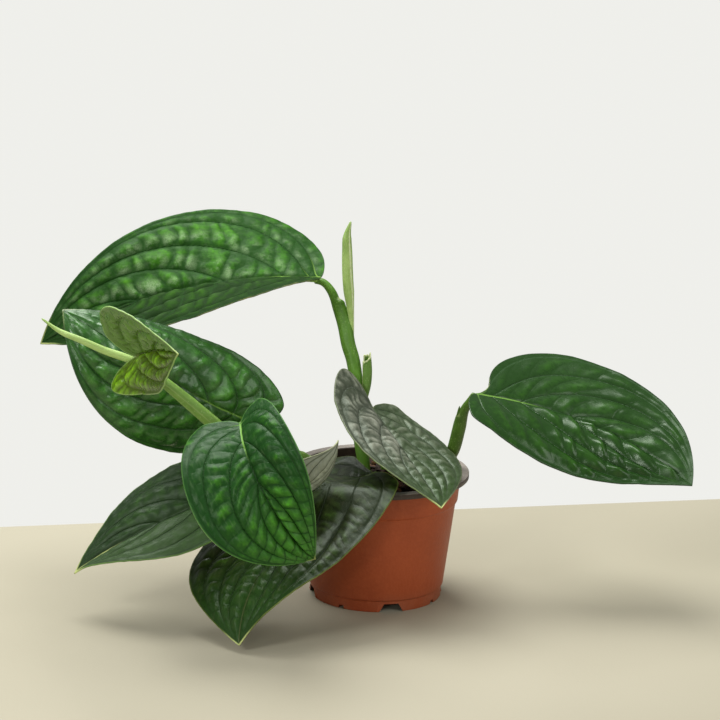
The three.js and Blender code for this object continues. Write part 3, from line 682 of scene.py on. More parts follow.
# left and right hold width, widest place, lobe and curl, as in the solids
leafCommon = {
    "groove": 0.5, "softness": 2.8, "wave": 0.7, "sink": 0.3, "thickness": 0.7, "ripple": 0.42,
    "fine": 0.2, "lumps": 1.4, "dome": 0.3, "shingle": 1.0, "rollShare": 0.35, "bow": 0.1, "jitter": 0.55,
    "calm": 0.6, "calmFrom": 0, "calmTo": 0.25, "ribRadius": 1.35, "pillowShare": 0.8, "tipSwell": 0,
    "veins": (0, 0.06, 0.2, 0.45)}
leaves = {
    "upper_left_leaf": {
        "slot": "blade_mid_green", "look": "midGreen", "base": (-37.5, 47, 177.5), "heading": -168,
        "pitch": 5, "roll": -10, "length": 172.5, "droop": 33, "hook": 6.5, "sweep": 7.5, "twist": -36,
        "fold": 24, "lift": 4.5, "tip": 0.54, "left": (53, 0.38, -0.03, -3),
        "right": (52.5, 0.29, 0.02, -7),
        "rightOutline": {"lobeHeight": 0.25, "lobeFullness": 0.45, "crownFullness": 0.62, "lobeTurn": 0.12},
        "puffs": (2.0, 2.2), "veins": (0, 0.035, 0.12, 0.33, 0.62), "cell": 10.2, "slant": 0.15,
        "mesh": (180, 116), "jitter": 0.8, "calm": 0.3, "calmFrom": 0.1, "calmTo": 0.5},
    "rear_left_leaf": {
        "slot": "blade_dark_green", "look": "darkGreen", "base": (-78.5, -27.5, 110.5), "heading": -144.5,
        "pitch": 24.5, "roll": -109, "length": 125.5, "droop": 41, "hook": 12.5, "sweep": -19, "twist": 49,
        "fold": -8, "lift": 16.5, "tip": 0.72, "left": (41, 0.38, 0.09, -19),
        "right": (34.5, 0.21, 0.16, -35), "puffs": (3.2, 2.4), "cell": 9.2, "slant": 0.1,
        "mesh": (150, 104), "softness": 3.6, "dome": 0.38, "jitter": 0.75, "calmTo": 0.15},
    "front_leaf": {
        "slot": "blade_mid_green", "look": "frontGreen", "base": (-77.5, -80.5, 122), "heading": -90,
        "pitch": -11.5, "roll": 34.5, "length": 109.5, "droop": 128, "hook": 11, "sweep": 5, "twist": -8.5,
        "fold": 16, "lift": 8, "tip": 0.17, "left": (29, 0.35, 0.09, -26), "right": (39, 0.43, 0.07, 9),
        "puffs": (2.5, 2.5), "veins": (0, 0.04, 0.14, 0.4), "cell": 7.4, "slant": -0.05,
        "mesh": (150, 104), "softness": 3.2, "lumps": 1.0, "dome": 0.36, "bow": 0.06, "jitter": 0.3,
        "calm": 0.35, "calmTo": 0.5, "tipSwell": 1.2},
    "low_left_leaf": {
        "slot": "blade_dark_green", "look": "lowGreen", "base": (-80.5, -49, 75.5), "heading": -172,
        "pitch": -22, "roll": -40.5, "length": 104.5, "droop": 8.5, "hook": 9.5, "sweep": 4, "twist": 22.5,
        "fold": 21.5, "lift": 5, "tip": 0.31, "left": (32, 0.35, 0.05, -29.5),
        "right": (32.5, 0.34, 0.06, -35), "puffs": (1.2, 1.4), "cell": 8.0, "slant": 0.5,
        "mesh": (120, 80), "softness": 4.2, "lumps": 0.2, "rollShare": 0.9, "pillowShare": 0.12},
    "table_leaf": {
        "slot": "blade_dark_green", "look": "olive", "base": (-3, -33.5, 81.5), "heading": -160,
        "pitch": -24, "roll": -5.5, "length": 137.5, "droop": 10.5, "hook": 31.5, "sweep": 45, "twist": -1,
        "fold": 4.5, "lift": 7, "tip": 0.57, "left": (41.5, 0.38, 0.05, -31),
        "right": (50.5, 0.63, -0.01, 0.5), "puffs": (1.3, 2.6), "veins": (0, 0.07, 0.22, 0.45),
        "cell": 6.6, "slant": 0.15, "mesh": (160, 112), "restsOnRim": True, "softness": 3.6, "ripple": 0.3,
        "fine": 0.1, "lumps": 0.3, "rollShare": 0.6, "pillowShare": 0.45},
    "folded_leaf": {
        "slot": "blade_grey_green", "look": "palm", "base": (-54, -62, 75.5), "heading": -15,
        "pitch": 20.5, "roll": 133.5, "length": 47.5, "droop": 60.5, "hook": 12, "sweep": 9.5,
        "twist": 3.5, "fold": -10, "lift": 5, "tip": 0.21, "left": (15, 0.37, 0.12, -34.5),
        "right": (14.5, 0.36, 0.12, -22), "puffs": (0.35, 0.35), "veins": (0, 0.08, 0.25), "cell": 3.2,
        "slant": 0.3, "mesh": (80, 52), "lumps": 0.3, "ribRadius": 1.0},
    "centre_leaf": {
        "slot": "blade_grey_green", "look": "greyGreen", "base": (-4.5, 6.5, 109.5), "heading": -61,
        "pitch": -24.5, "roll": -25.5, "length": 91, "droop": -5, "hook": 9.5, "sweep": -1.5,
        "twist": 10.5, "fold": 3, "lift": 15.5, "tip": 0.48, "left": (36.5, 0.44, 0.07, 11.5),
        "right": (33, 0.29, 0.27, -20.5), "puffs": (1.9, 1.8), "veins": (0, 0.05, 0.17, 0.4), "cell": 6.6,
        "slant": 0.5, "mesh": (140, 96), "groove": 0.25, "softness": 2.6, "lumps": 0.9, "dome": 0.34,
        "shingle": 0.7, "jitter": 0.8},
    "right_leaf": {
        "slot": "blade_dark_green", "look": "glossGreen", "base": (54.5, -4, 123), "heading": 24,
        "pitch": -11.5, "roll": 27.5, "length": 142, "droop": -17.5, "hook": 0.5, "sweep": -61.5,
        "twist": 20, "fold": 9.5, "lift": -1, "tip": 0.72, "left": (45.5, 0.39, -0.08, -7),
        "right": (43, 0.35, 0.07, -26), "puffs": (1.3, 3.6), "veins": (0, 0.07, 0.2, 0.42), "cell": 18,
        "slant": -0.6, "mesh": (160, 112),
        "leftOutline": {"lobeHeight": 0.28, "lobeFullness": 0.35, "lobeTurn": 0.14}, "groove": 0.4,
        "softness": 3.2, "ripple": 0.25, "fine": 0.1, "dome": 0.36, "shingle": 1.6, "rollShare": 0.7,
        "jitter": 0.5, "calm": 0.25, "calmFrom": 0.1, "calmTo": 0.55},
    "young_leaf": {
        "slot": "blade_young_green", "look": "youngOlive", "base": (-136, -73.5, 157), "heading": -61,
        "pitch": 23.5, "roll": 108.5, "length": 67.5, "droop": -9.5, "hook": -8, "sweep": -14, "twist": -3,
        "fold": 26, "lift": 18, "tip": 0.26, "left": (35, 0.32, 0.06, -3.5),
        "right": (23.5, 0.35, 0.35, -15), "puffs": (1.4, 2.0), "cell": 5.0, "slant": 0.45,
        "mesh": (110, 76), "groove": 0.2, "softness": 1.8, "lumps": 1.0, "rollShare": 0.8,
        "ribRadius": 1.1},
}
for seed, (node, leaf) in enumerate(leaves.items(), 1):
    growLeaf(node, leafCommon | leaf, seed)


# stems and stalks: routes and radii as in the solids

def roundRoute(route, steps):
    p = np.array(route, float)
    p = np.vstack([2 * p[0] - p[1], p, 2 * p[-1] - p[-2]])
    curve = []
    for i in range(1, len(p) - 2):
        a, b, c, d = p[i - 1:i + 3]
        ta, tb, tc = (max(np.linalg.norm(q), 1e-6) ** 0.5 for q in (b - a, c - b, d - c))
        m = ((b - a) / ta - (c - a) / (ta + tb) + (c - b) / tb) * tb
        n = ((c - b) / tb - (d - b) / (tb + tc) + (d - c) / tc) * tb
        u = np.linspace(0, 1, 24, endpoint=False)[:, None]
        curve.append((2 * u ** 3 - 3 * u ** 2 + 1) * b + (u ** 3 - 2 * u ** 2 + u) * m
                     + (3 * u ** 2 - 2 * u ** 3) * c + (u ** 3 - u ** 2) * n)
    curve = np.vstack(curve + [p[-2:-1]])
    run = np.concatenate([[0], np.cumsum(np.linalg.norm(np.diff(curve, axis=0), axis=1))])
    at = np.linspace(0, run[-1], steps + 1)
    return np.stack([np.interp(at, run, curve[:, k]) for k in range(3)], 1), run[-1]


# two directions across each place of a route, carried along it without a twist
def carriedSides(centres):
    ways = unit(np.gradient(centres, axis=0))
    sides = [unit(np.cross(ways[0], [0, 1.0, 0]))]
    for way in ways[1:]:
        sides.append(unit(sides[-1] - way * (way @ sides[-1])))
    sides = np.array(sides)
    return sides, np.cross(ways, sides)


def aroundRoute(centre, sides, fronts, radius, angle):
    return centre + sides * (radius * np.cos(angle))[:, None] + fronts * (radius * np.sin(angle))[:, None]


# the last 0.9 mm of a stem is rounded off
roundEnd = 0.9


# section(share along, angle, length) gives shares of the radius and of the mark colour there
def growStem(name, stem, slot, material, section, *nodes):
    along = max(24, int(roundRoute(stem["route"], 1)[1] / stem["step"]))
    sheet, t, v = gridSheet(along, stem["sides"])
    centres, length = roundRoute(stem["route"], along)
    sides, fronts = carriedSides(centres)
    ring = np.rint(t * along).astype(int)
    angle = v * fullTurn
    radius = np.interp(t * (len(stem["radii"]) - 1), range(len(stem["radii"])), stem["radii"])
    swell, tint = section(t, angle, length)
    fromEnd = np.minimum(t, 1 - t) * length
    radius = radius * swell * np.sqrt(np.clip(fromEnd / roundEnd, 0.02, 1))
    setPoints(sheet, aroundRoute(centres[ring], sides[ring], fronts[ring], radius, angle))
    setFacts(sheet, tint=tint, along=t)
    setUv(sheet, t * length / 100, v * 0.2)
    weld(sheet)
    closeEnds(sheet)
    dress(sheet, material)
    finishPiece(sheet, name, slot, *nodes)
    print("stem", name, len(sheet.data.vertices), "points")


def stemFinish(name, deep, base, light, dot, mark, roughness=0.46, speckle=0.4, foot="#5a7e33", footTo=0.06):
    skin = Finish(name, roughness, 0.3)
    tint, along = skin.attributes("tint", "along")
    fibres = skin.grain(0.0012, skin.stretched(skin.uv, (0.12, 1, 1)))
    speckles = skin.cells(0.0011, skin.stretched(skin.uv, (0.6, 1, 1)))
    colour = skin.paint(
        deep,
        (base, skin.spread(skin.grain(0.014), 0.3, 0.7)),
        (light, skin.spread(fibres, 0.45, 0.75), 0.3),
        (dot, skin.spread(speckles, 0.12, 0.3, 1, 0), speckle),
        (foot, skin.spread(along, footTo, footTo + 0.15, 1, 0)),
        (mark, skin.spread(tint, 0.2, 0.8)))
    relief = skin.relief((fibres, 0.00018), (speckles, 0.0001))
    skin.fix({"Subsurface Weight": 0.12, "Subsurface Radius": (0.0012, 0.0018, 0.0006), "Coat Weight": 0.06,
              "Coat Roughness": 0.3})
    return skin.done(colour, skin.plus(roughness - 0.1, skin.times(fibres, 0.2)), relief)


greenStem = stemFinish("green_stem_skin", "#4a7020", "#5e882b", "#759f3e", "#98b56a", "#b9c48c")
uprightSkin = stemFinish("upright_stem_skin", "#48701b", "#568423", "#6c9a35", "#8fb25f", "#b9c48c",
                         foot="#71a63a", footTo=0.5)
vineSkin = stemFinish("vine_skin", "#759c42", "#85ae4f", "#99bf66", "#b4cb8c", "#c4cf98")
darkStem = stemFinish("dark_stem_skin", "#43601f", "#577a2b", "#719344", "#8ba55f", "#a3a872",
                      roughness=0.42, speckle=0.45, foot="#4f6233", footTo=0.1)
newLeafSkin = stemFinish("new_leaf_skin", "#8fb05a", "#b2cf7c", "#c7db97", "#cbdaa4", "#d5e0b0",
                         roughness=0.4, speckle=0.2, foot="#97b562", footTo=0.02)
drySheath = stemFinish("dry_sheath_skin", "#557a30", "#6a913d", "#8dac5c", "#b7c78a", "#c4cf98",
                       roughness=0.5, speckle=0.3, foot="#6f9440", footTo=0.05)


def nearAngle(angle, middle, width):
    return bell((angle - middle + math.pi) % fullTurn - math.pi, width)


def plainStalk(t, angle, length):
    knee = bell((1 - t) * length, 2.6)
    furrow = 0.1 * nearAngle(angle, 1.5, 0.5) * (1 - knee)
    ridges = 0.012 * np.cos(angle * 7)
    return 1 + 0.18 * knee - furrow + ridges, 0.25 * knee


# a stalk with a sheath: its wing stands off to one side and ends in a pale shoulder
def sheathedStem(stem):
    def section(t, angle, length):
        top, facing = stem["sheathTo"], stem["facing"]
        sheath = smoothStep(top + 0.006, top - 0.02, t)
        wing = sheath * bell(np.maximum(0, top - 0.03 - t), stem["wingFade"]) * stem["wing"]
        lip = nearAngle(angle, facing - 0.5, 0.12) * sheath
        shoulder = bell((t - top) * length, 1.8) * nearAngle(angle, facing, 0.8)
        knee = bell((1 - t) * length, 5)
        swell = 1 + wing * nearAngle(angle, facing, 0.75) + 0.05 * lip + 0.08 * knee
        return swell + 0.008 * np.cos(angle * 6), np.clip(0.6 * shoulder + 0.3 * lip, 0, 1)
    return section


# a leaf that is still rolled up: a spiral section with a pale free edge
def rolledLeaf(turns, start):
    def section(t, angle, length):
        turned = ((angle - start - turns * fullTurn * t) / fullTurn) % 1
        edge = bell(turned, 0.05) + bell(1 - turned, 0.02)
        lap = bell(turned - 0.5, 0.04)
        flat = 1 + 0.1 * np.cos(2 * (angle - start - 1.2))
        return (1.12 - 0.24 * turned) * flat, np.clip(0.7 * edge + 0.25 * lap, 0, 1)
    return section


def ringedVine(t, angle, length):
    run = t * length
    rings = sum(bell(run - at, 2.2) for at in vine["nodesAt"])
    scars = sum(bell(run - at - 1.9 + 0.5 * np.sin(angle * 2 + at), 0.5) for at in vine["nodesAt"])
    sheath = smoothStep(vine["sheathFrom"], vine["sheathFrom"] + 14, run) * smoothStep(1.01, 0.9, t)
    lips = nearAngle(angle, 0.9, 0.14) + nearAngle(angle, 1.7, 0.14)
    ridges = 0.012 * np.cos(angle * 9 + run / 9)
    swell = 1 + 0.1 * rings - 0.03 * scars + ridges + sheath * (0.1 + 0.08 * lips)
    return swell, np.clip(0.5 * scars + 0.5 * sheath * lips, 0, 1)


uprightStem = {
    "route": [(-8, 12, 46), (-8.5, 13, 70), (-11.5, 18, 87), (-13, 22, 104), (-15, 26, 121),
              (-17.5, 29, 132.5), (-20.6, 32, 140.5), (-23.6, 36, 151.5), (-26.7, 39, 160),
              (-30.6, 43, 169.5), (-35.8, 46.2, 174.6), (-41.5, 47.3, 175.7)],
    "radii": (3.4, 3.5, 3.6, 3.8, 3.9, 3.9, 3.7, 3.4, 3.0, 2.6, 1.8), "step": 0.8, "sides": 48,
    "sheathTo": 0.87, "facing": 2.75, "wing": 0.9, "wingFade": 0.2}
growStem("upright_stem_skin", uprightStem, "green_stem", uprightSkin, sheathedStem(uprightStem),
         "upright_stem")

uprightNewLeaf = {
    "route": [(-17.7, 31.5, 140.5), (-17.9, 33.5, 148), (-19.4, 35, 161), (-21.5, 35, 179), (-22.4, 35, 196),
              (-22.6, 35, 205.5), (-20.6, 35, 214.2)],
    "radii": (0.5, 1.1, 2.0, 3.0, 3.1, 3.0, 2.6, 0.5), "step": 0.7, "sides": 48}
growStem("upright_rolled_leaf", uprightNewLeaf, "new_leaf", newLeafSkin, rolledLeaf(-0.1, 2.75),
         "upright_new_leaf")

rightStem = {
    "route": [(35.5, 14, 46), (37.5, 13.5, 66), (40.5, 11, 78), (43.5, 7, 86.5), (46, 4, 98.5),
              (48.5, 0, 112), (51.5, -3, 118), (54.4, -4, 122.8)],
    "radii": (3.4, 3.4, 3.5, 3.6, 3.6, 3.4, 2.6, 2), "step": 0.8, "sides": 40,
    "sheathTo": 0.8, "facing": 0.3, "wing": 0.3, "wingFade": 0.25}
growStem("right_stem_skin", rightStem, "dark_stem", darkStem, sheathedStem(rightStem), "right_stem")
sheathTip = {"route": [(45.4, 1.2, 104), (45, 0.6, 109), (45.5, 0, 114.2)], "radii": (1.2, 1.0, 0.25),
             "step": 0.4, "sides": 20}
growStem("right_sheath_tip", sheathTip, "dark_stem", darkStem, plainStalk)

vine = {
    "route": [(-26, 4, 46), (-27, 3, 66), (-32, 0.5, 73), (-39, -1.5, 77.5), (-46, -5, 82),
              (-53, -12, 86), (-60, -24, 89.5), (-67, -37, 93.5), (-81.5, -50, 103.5), (-95, -60, 117.5),
              (-106.5, -64, 128.5), (-119.5, -67, 140), (-128.5, -66.5, 147), (-136.5, -65, 152)],
    "radii": (3.4, 3.4, 3.4, 3.4, 3.4, 3.6, 3.6, 3.4, 2.8, 2.2), "step": 0.7, "sides": 36,
    "nodesAt": (33, 46, 60, 74, 88), "sheathFrom": 118}
growStem("left_vine_skin", vine, "green_stem", vineSkin, ringedVine, "left_vine")

leftNewLeaf = {
    "route": [(-133, -65, 149.8), (-142, -65, 153.8), (-154, -66, 158), (-167, -66, 163.5),
              (-178.5, -64, 167.5), (-189.3, -61, 173.8)],
    "radii": (2.4, 2.3, 2, 1.6, 0.45), "step": 0.6, "sides": 40}
growStem("left_rolled_leaf", leftNewLeaf, "new_leaf", newLeafSkin, rolledLeaf(0.15, 4.4), "left_new_leaf")

# each ends under the base of the blade it carries
stalks = {
    "rear_left": {"radii": (2.2, 2, 1.8), "route": [
        (-66, -36, 93), (-68.5, -28, 98.5), (-72.9, -22.6, 104.5), (-77.2, -23, 108.8)]},
    "front": {"radii": (2.3, 2.1, 1.8), "route": [(-66, -36, 93), (-71, -50, 107), (-75, -66, 117.5)]},
    "low_left": {"radii": (2.2, 2, 1.8), "route": [(-64, -32, 91.5), (-69, -38, 83), (-75, -45, 76.5)]},
    "folded": {"radii": (1.8, 1.7, 1.5), "route": [(-60, -24, 89.5), (-60.5, -38, 88), (-58.5, -52.5, 81)]},
    "young": {"radii": (2, 1.8, 1.5), "route": [(-121, -67, 141.5), (-129, -69.5, 150.5)]},
    "table": {"radii": (2.4, 2.3, 2), "route": [(3, -13, 50), (3, -16, 70), (1, -25, 77.5)]},
    "centre": {"radii": (2.5, 2.4, 2), "route": [(3, 17, 50), (3.5, 16.5, 70), (2, 14, 90), (-5.5, 8, 103)]},
}
underBlade = 0.7
for name, stalk in stalks.items():
    leaf, node = leaves[name + "_leaf"], name + "_stalk"
    seat = np.array(leaf["base"]) - traceMidrib(leaf)[2][0] * underBlade
    stalk = stalk | {"route": stalk["route"] + [tuple(seat)], "step": 0.7, "sides": 28}
    growStem(node + "_skin", stalk, "green_stem", greenStem, plainStalk, node)


# cut sheath beside the upright stem: a gutter of thin skin with a torn top

sheathStub = {"route": [(-11.5, 22, 106), (-9, 22, 119.5), (-9, 23, 131), (-9.5, 23, 139)],
              "radii": (1.9, 2.3, 2.5, 2.3), "opening": -0.1, "wrap": 2.75, "thickness": 0.8,
              "along": 64, "around": 28}


def growSheath(name, stub, slot, material, node):
    along = stub["along"]
    sheet, t, v = gridSheet(along, stub["around"])
    centres, length = roundRoute(stub["route"], along)
    sides, fronts = carriedSides(centres)
    tear = 0.84 + 0.09 * smoothStep(0.1, 0.5, v) + 0.07 * bell(v - 0.55, 0.05) + 0.01 * np.sin(v * 41 + 1)
    share = t * tear
    wrap = stub["wrap"] * (1 - 0.12 * smoothStep(0.5, 1, share))
    angle = stub["opening"] + math.pi + (v * 2 - 1) * wrap
    at = share * along
    low = np.minimum(at.astype(int), along - 1)
    radius = np.interp(share * 3, range(4), stub["radii"]) * (1 - 0.1 * np.cos(v * fullTurn))
    radius = radius + 0.12 * np.sin(v * 17 + share * 9)
    setPoints(sheet, aroundRoute(between(centres, at), sides[low], fronts[low], radius, angle))
    edge = bell((1 - t) * length, 1.1) + bell(np.minimum(v, 1 - v), 0.05)
    setFacts(sheet, tint=np.clip(edge, 0, 1), along=t)
    setUv(sheet, share * length / 100, v * 0.15)
    pickOnly(sheet)
    bpy.ops.object.shade_smooth()
    dress(sheet, material)
    modify(sheet, "SOLIDIFY", thickness=stub["thickness"] * mm, offset=0)
    weld(sheet)
    finishPiece(sheet, name, slot, node)
    print("sheath", name, len(sheet.data.vertices), "points")


growSheath("sheath_stub_skin", sheathStub, "dry_sheath", drySheath, "sheath_stub")


# pot: outer wall, rim and inner wall drawn as one profile, in millimetres

pot = {"sides": 160, "height": 75, "rimRadius": 52.5, "rimBand": 3.2, "rimInner": 47.2, "collarTop": 47.6,
       "collar": 46.4, "collarHeight": 58.5, "collarStep": 1.1, "bodyTop": 45.3, "bodyFoot": 39.5,
       "groove": 7.4, "foot": 38.4, "lip": 0.8, "rounding": 0.7, "wall": 1.2, "floor": 1.4,
       "edge": 0.45, "quarter": 90, "smooth": 32, "darkFoot": 1.3, "darkWall": 0.9, "darkInside": 7}
wideChannel = {"bottom": 15.4, "top": 8.4, "height": 5, "from": 15, "roof": 1.3, "firstAt": -76}
smallChannel = {"bottom": 4.4, "top": 3, "height": 2.2, "from": 30, "roof": 1.3, "firstAt": -31}
drainHole = {"radius": 3, "at": 26, "sides": 32, "middle": 5, "depth": 14}


def potProfile():
    p = pot
    step, band, wall = p["collarHeight"] - p["collarStep"], p["height"] - p["rimBand"], p["wall"]
    return [(p["foot"], 0), (p["foot"], p["groove"] - p["lip"]), (p["bodyFoot"], p["groove"]),
            (p["bodyTop"], step), (p["collar"], p["collarHeight"]), (p["collarTop"], band),
            (p["rimRadius"], band), (p["rimRadius"], p["height"]), (p["rimInner"], p["height"]),
            (p["collarTop"] - wall, p["height"] - p["rounding"]), (p["collar"] - wall, p["collarHeight"]),
            (p["bodyTop"] - wall, step), (p["bodyFoot"] - wall, p["groove"]), (p["foot"] - wall, p["floor"])]


def turnedShell(profile, sides):
    freshStart()
    radius, height = profile[0]
    bpy.ops.mesh.primitive_circle_add(vertices=sides, radius=radius * mm, location=(0, 0, height * mm))
    bpy.ops.object.transform_apply(location=True)
    openMesh()
    for (radius, height), (nextRadius, nextHeight) in zip(profile, profile[1:]):
        bpy.ops.mesh.extrude_edges_move(TRANSFORM_OT_translate={"value": (0, 0, (nextHeight - height) * mm)})
        share = nextRadius / radius
        bpy.ops.transform.resize(value=(share, share, 1), center_override=(0, 0, 0))
    bpy.ops.mesh.edge_face_add()
    fillOpenEdges()
    return shutMesh()


# a bar with sloping flanks that points out of the foot; without thickness it cuts the channel itself
def channelBar(shape, azimuth, thicker, reach):
    start = shape["from"] - thicker
    low = pot["floor"] / 2 if thicker else -1
    high = shape["height"] + thicker
    width = shape["bottom"] + 2 * thicker
    freshStart()
    bpy.ops.mesh.primitive_cube_add(size=1, location=((start + reach) / 2 * mm, 0, (low + high) / 2 * mm),
                                    scale=((reach - start) * mm, width * mm, (high - low) * mm))
    bpy.ops.object.transform_apply(location=True, scale=True)
    openMesh("DESELECT")
    bar = shutMesh()
    for face in bar.data.polygons:
        face.select = face.normal.z > 0.9
    bpy.ops.object.mode_set(mode="EDIT")
    share = (shape["top"] + 2 * thicker) / width
    bpy.ops.transform.resize(value=(1, share, 1), center_override=(0, 0, 0))
    bpy.ops.mesh.select_all(action="SELECT")
    bpy.ops.transform.rotate(value=-math.radians(azimuth), orient_axis="Z", center_override=(0, 0, 0))
    return shutMesh()


def cutOrAdd(piece, tool, operation):
    modify(piece, "BOOLEAN", operation=operation, solver="EXACT", object=tool)
    bpy.data.objects.remove(tool)


def makePot():
    shell = turnedShell(potProfile(), pot["sides"])
    shell.name = "pot_shell"
    modify(shell, "BEVEL", width=pot["edge"] * mm, segments=3, limit_method="ANGLE",
           angle_limit=math.radians(30))
    quarters = [pot["quarter"] * k for k in range(4)]
    shapes = (wideChannel, smallChannel)
    channels = [(shape, shape["firstAt"] + turn) for turn in quarters for shape in shapes]
    for shape, azimuth in channels:
        cutOrAdd(shell, channelBar(shape, azimuth, shape["roof"], pot["foot"] - pot["wall"] / 2), "UNION")
    for shape, azimuth in channels:
        cutOrAdd(shell, channelBar(shape, azimuth, 0, pot["rimRadius"]), "DIFFERENCE")
    for turn in quarters:
        turn = math.radians(wideChannel["firstAt"] + turn)
        at = (drainHole["at"] * math.cos(turn), drainHole["at"] * math.sin(turn), drainHole["middle"])
        freshStart()
        bpy.ops.mesh.primitive_cylinder_add(vertices=drainHole["sides"], radius=drainHole["radius"] * mm,
                                            depth=drainHole["depth"] * mm, location=Vector(at) * mm)
        cutOrAdd(shell, bpy.context.object, "DIFFERENCE")
    smoothByAngle(shell, pot["smooth"])
    print("pot", len(shell.data.polygons), "faces")
    return shell


# 1 for the dark band, inside and foot, 2 for the top of the rim, which is painted paler as sheen of the
# light and as dust, 0 for the wall outside
def potColour(face):
    middle = face.center
    away = math.hypot(middle.x, middle.y)
    inwards = middle.x * face.normal.x + middle.y * face.normal.y < -0.3 * away
    onBand = middle.z > (pot["height"] - pot["rimBand"] - 0.05) * mm
    insideFoot = middle.z > pot["darkFoot"] * mm and away < (pot["foot"] - pot["darkWall"]) * mm
    onTop = face.normal.z > 0.5 and middle.z > (pot["height"] - 0.3) * mm
    inside = inwards and middle.z > pot["darkInside"] * mm
    return 2 if onTop else int(onBand or insideFoot or inside)


def potFinish(name, deep, base, light, dust="#5f5046", roughness=0.5, specular=0.5, scuffs=0.35):
    plastic = Finish(name, roughness, specular)
    z = plastic.node("SeparateXYZ", {0: plastic.place})[2]
    cloud = plastic.grain(0.03, detail=4)
    fine = plastic.grain(0.0022, detail=4, roughness=0.6)
    streaks = plastic.grain(0.004, plastic.stretched(plastic.place, (1, 1, 0.08)))
    scratches = plastic.grain(0.012, plastic.stretched(plastic.place, (1, 1, 3)), detail=6)
    colour = plastic.paint(
        deep,
        (base, plastic.spread(cloud, 0.3, 0.7)),
        (light, plastic.spread(fine, 0.4, 0.7), 0.35),
        (deep, plastic.spread(streaks, 0.5, 0.75), 0.25),
        (dust, plastic.spread(z, 0.001, 0.014, 1, 0), plastic.spread(cloud, 0.35, 0.65), 0.3),
        (light, plastic.spread(scratches, 0.6, 0.72), scuffs))
    relief = plastic.relief((fine, 0.00012), (plastic.cells(0.0016), 0.00006))
    shine = plastic.times(plastic.plus(fine, cloud), 0.16)
    return plastic.done(colour, plastic.plus(roughness - 0.16, shine), relief)


terracotta = potFinish("terracotta_plastic", "#a04824", "#ab4f29", "#b65a31", dust="#8d6a52", specular=0.35,
                       scuffs=0.25)
darkPlastic = potFinish("dark_plastic", "#33261f", "#453730", "#5b4b43", roughness=0.38)
# the top of the rim is a paler grey: partly a painted sheen of the light on the upward face, partly dust
rimTop = potFinish("rim_top_plastic", "#8a8178", "#a1988e", "#b5ada4", roughness=0.45)
shell = makePot()
dress(shell, terracotta, darkPlastic, rimTop)
for face in shell.data.polygons:
    face.material_index = potColour(face)
finishPiece(shell, "pot_shell", "pot_plastic", "nursery_pot")


# potting mix: a crowned bed with clods, and bark chips lying on it

mix = {"height": 68.8, "edge": 45.5, "mound": 1.6, "foot": 38, "low": 6.8, "rings": 90, "around": 240,
       "side": 0.1, "clods": 1.1, "crumbs": 0.45, "seed": 11, "chips": 210, "crumbPieces": 260,
       "shapes": 5, "chipSize": (2.4, 6.5), "crumbSize": (0.7, 1.6), "tilt": 0.5, "chipSmooth": 50}
# where a stem stands, and how wide chips keep clear of it
stemsAt = [(-8.5, 13, 5), (37.5, 13.5, 5), (-27, 3, 5), (3, -16, 4), (3.5, 16.5, 4)]


def mixTop(x, y):
    inward = 1 - math.hypot(x, y) / mix["edge"]
    place = Vector((x, y, mix["seed"]))
    clods = noise.noise(place / 7) + 0.5 * noise.noise(place / 3.1)
    crumbs = noise.noise(place / 1.3) + 0.6 * noise.noise(place / 0.7)
    settled = min(1, inward * 9)
    top = mix["height"] + mix["mound"] * inward + settled * (mix["clods"] * clods)
    return top + mix["crumbs"] * crumbs * settled


def mixBody():
    sheet, t, v = gridSheet(mix["rings"], mix["around"])
    side, edge, low = mix["side"], mix["edge"], mix["low"]
    outer = t < side
    radius = np.where(outer, edge - (edge - mix["foot"]) * (1 - t / side), edge * (1 - t) / (1 - side))
    angle = v * fullTurn
    x, y = radius * np.cos(angle), radius * np.sin(angle)
    top = np.array([mixTop(a, b) for a, b in zip(x, y)])
    z = np.where(outer, low + (mix["height"] - low) * t / side, top)
    setPoints(sheet, np.stack([x, y, z], 1))
    weld(sheet)
    closeEnds(sheet)
    return sheet


def barkShape(k):
    freshStart()
    bpy.ops.mesh.primitive_cube_add(size=1)
    openMesh()
    bpy.ops.mesh.subdivide(number_cuts=1)
    bpy.ops.mesh.vertices_smooth(factor=0.35)
    chip = shutMesh()
    for point in chip.data.vertices:
        point.co += noise.noise_vector(point.co * 1.4 + Vector((k * 5, 0, 0))) * 0.22
    return chip


def barkFinish():
    bark = Finish("bark_chips", 0.75, 0.3)
    tone, = bark.attributes("tone")
    grain = bark.grain(0.0008, bark.stretched(bark.place, (1, 1, 3)), detail=4)
    colour = bark.paint("#33231a", ("#6b4630", bark.spread(tone, 0.1, 0.6)),
                        ("#9b6c48", bark.spread(tone, 0.72, 0.95)),
                        ("#241811", bark.spread(grain, 0.4, 0.7), 0.5))
    return bark.done(colour, bark.plus(0.6, bark.times(grain, 0.3)), bark.relief((grain, 0.0004)))


def soilFinish():
    soil = Finish("damp_mix", 0.85, 0.25)
    clods = soil.grain(0.004, detail=5, roughness=0.7)
    crumbs = soil.cells(0.0015)
    colour = soil.paint("#1d1510", ("#3e2d22", soil.spread(clods, 0.35, 0.65)),
                        ("#5b4230", soil.spread(crumbs, 0.1, 0.35, 1, 0), 0.5))
    return soil.done(colour, None, soil.relief((soil.plus(clods, crumbs), 0.0012)))


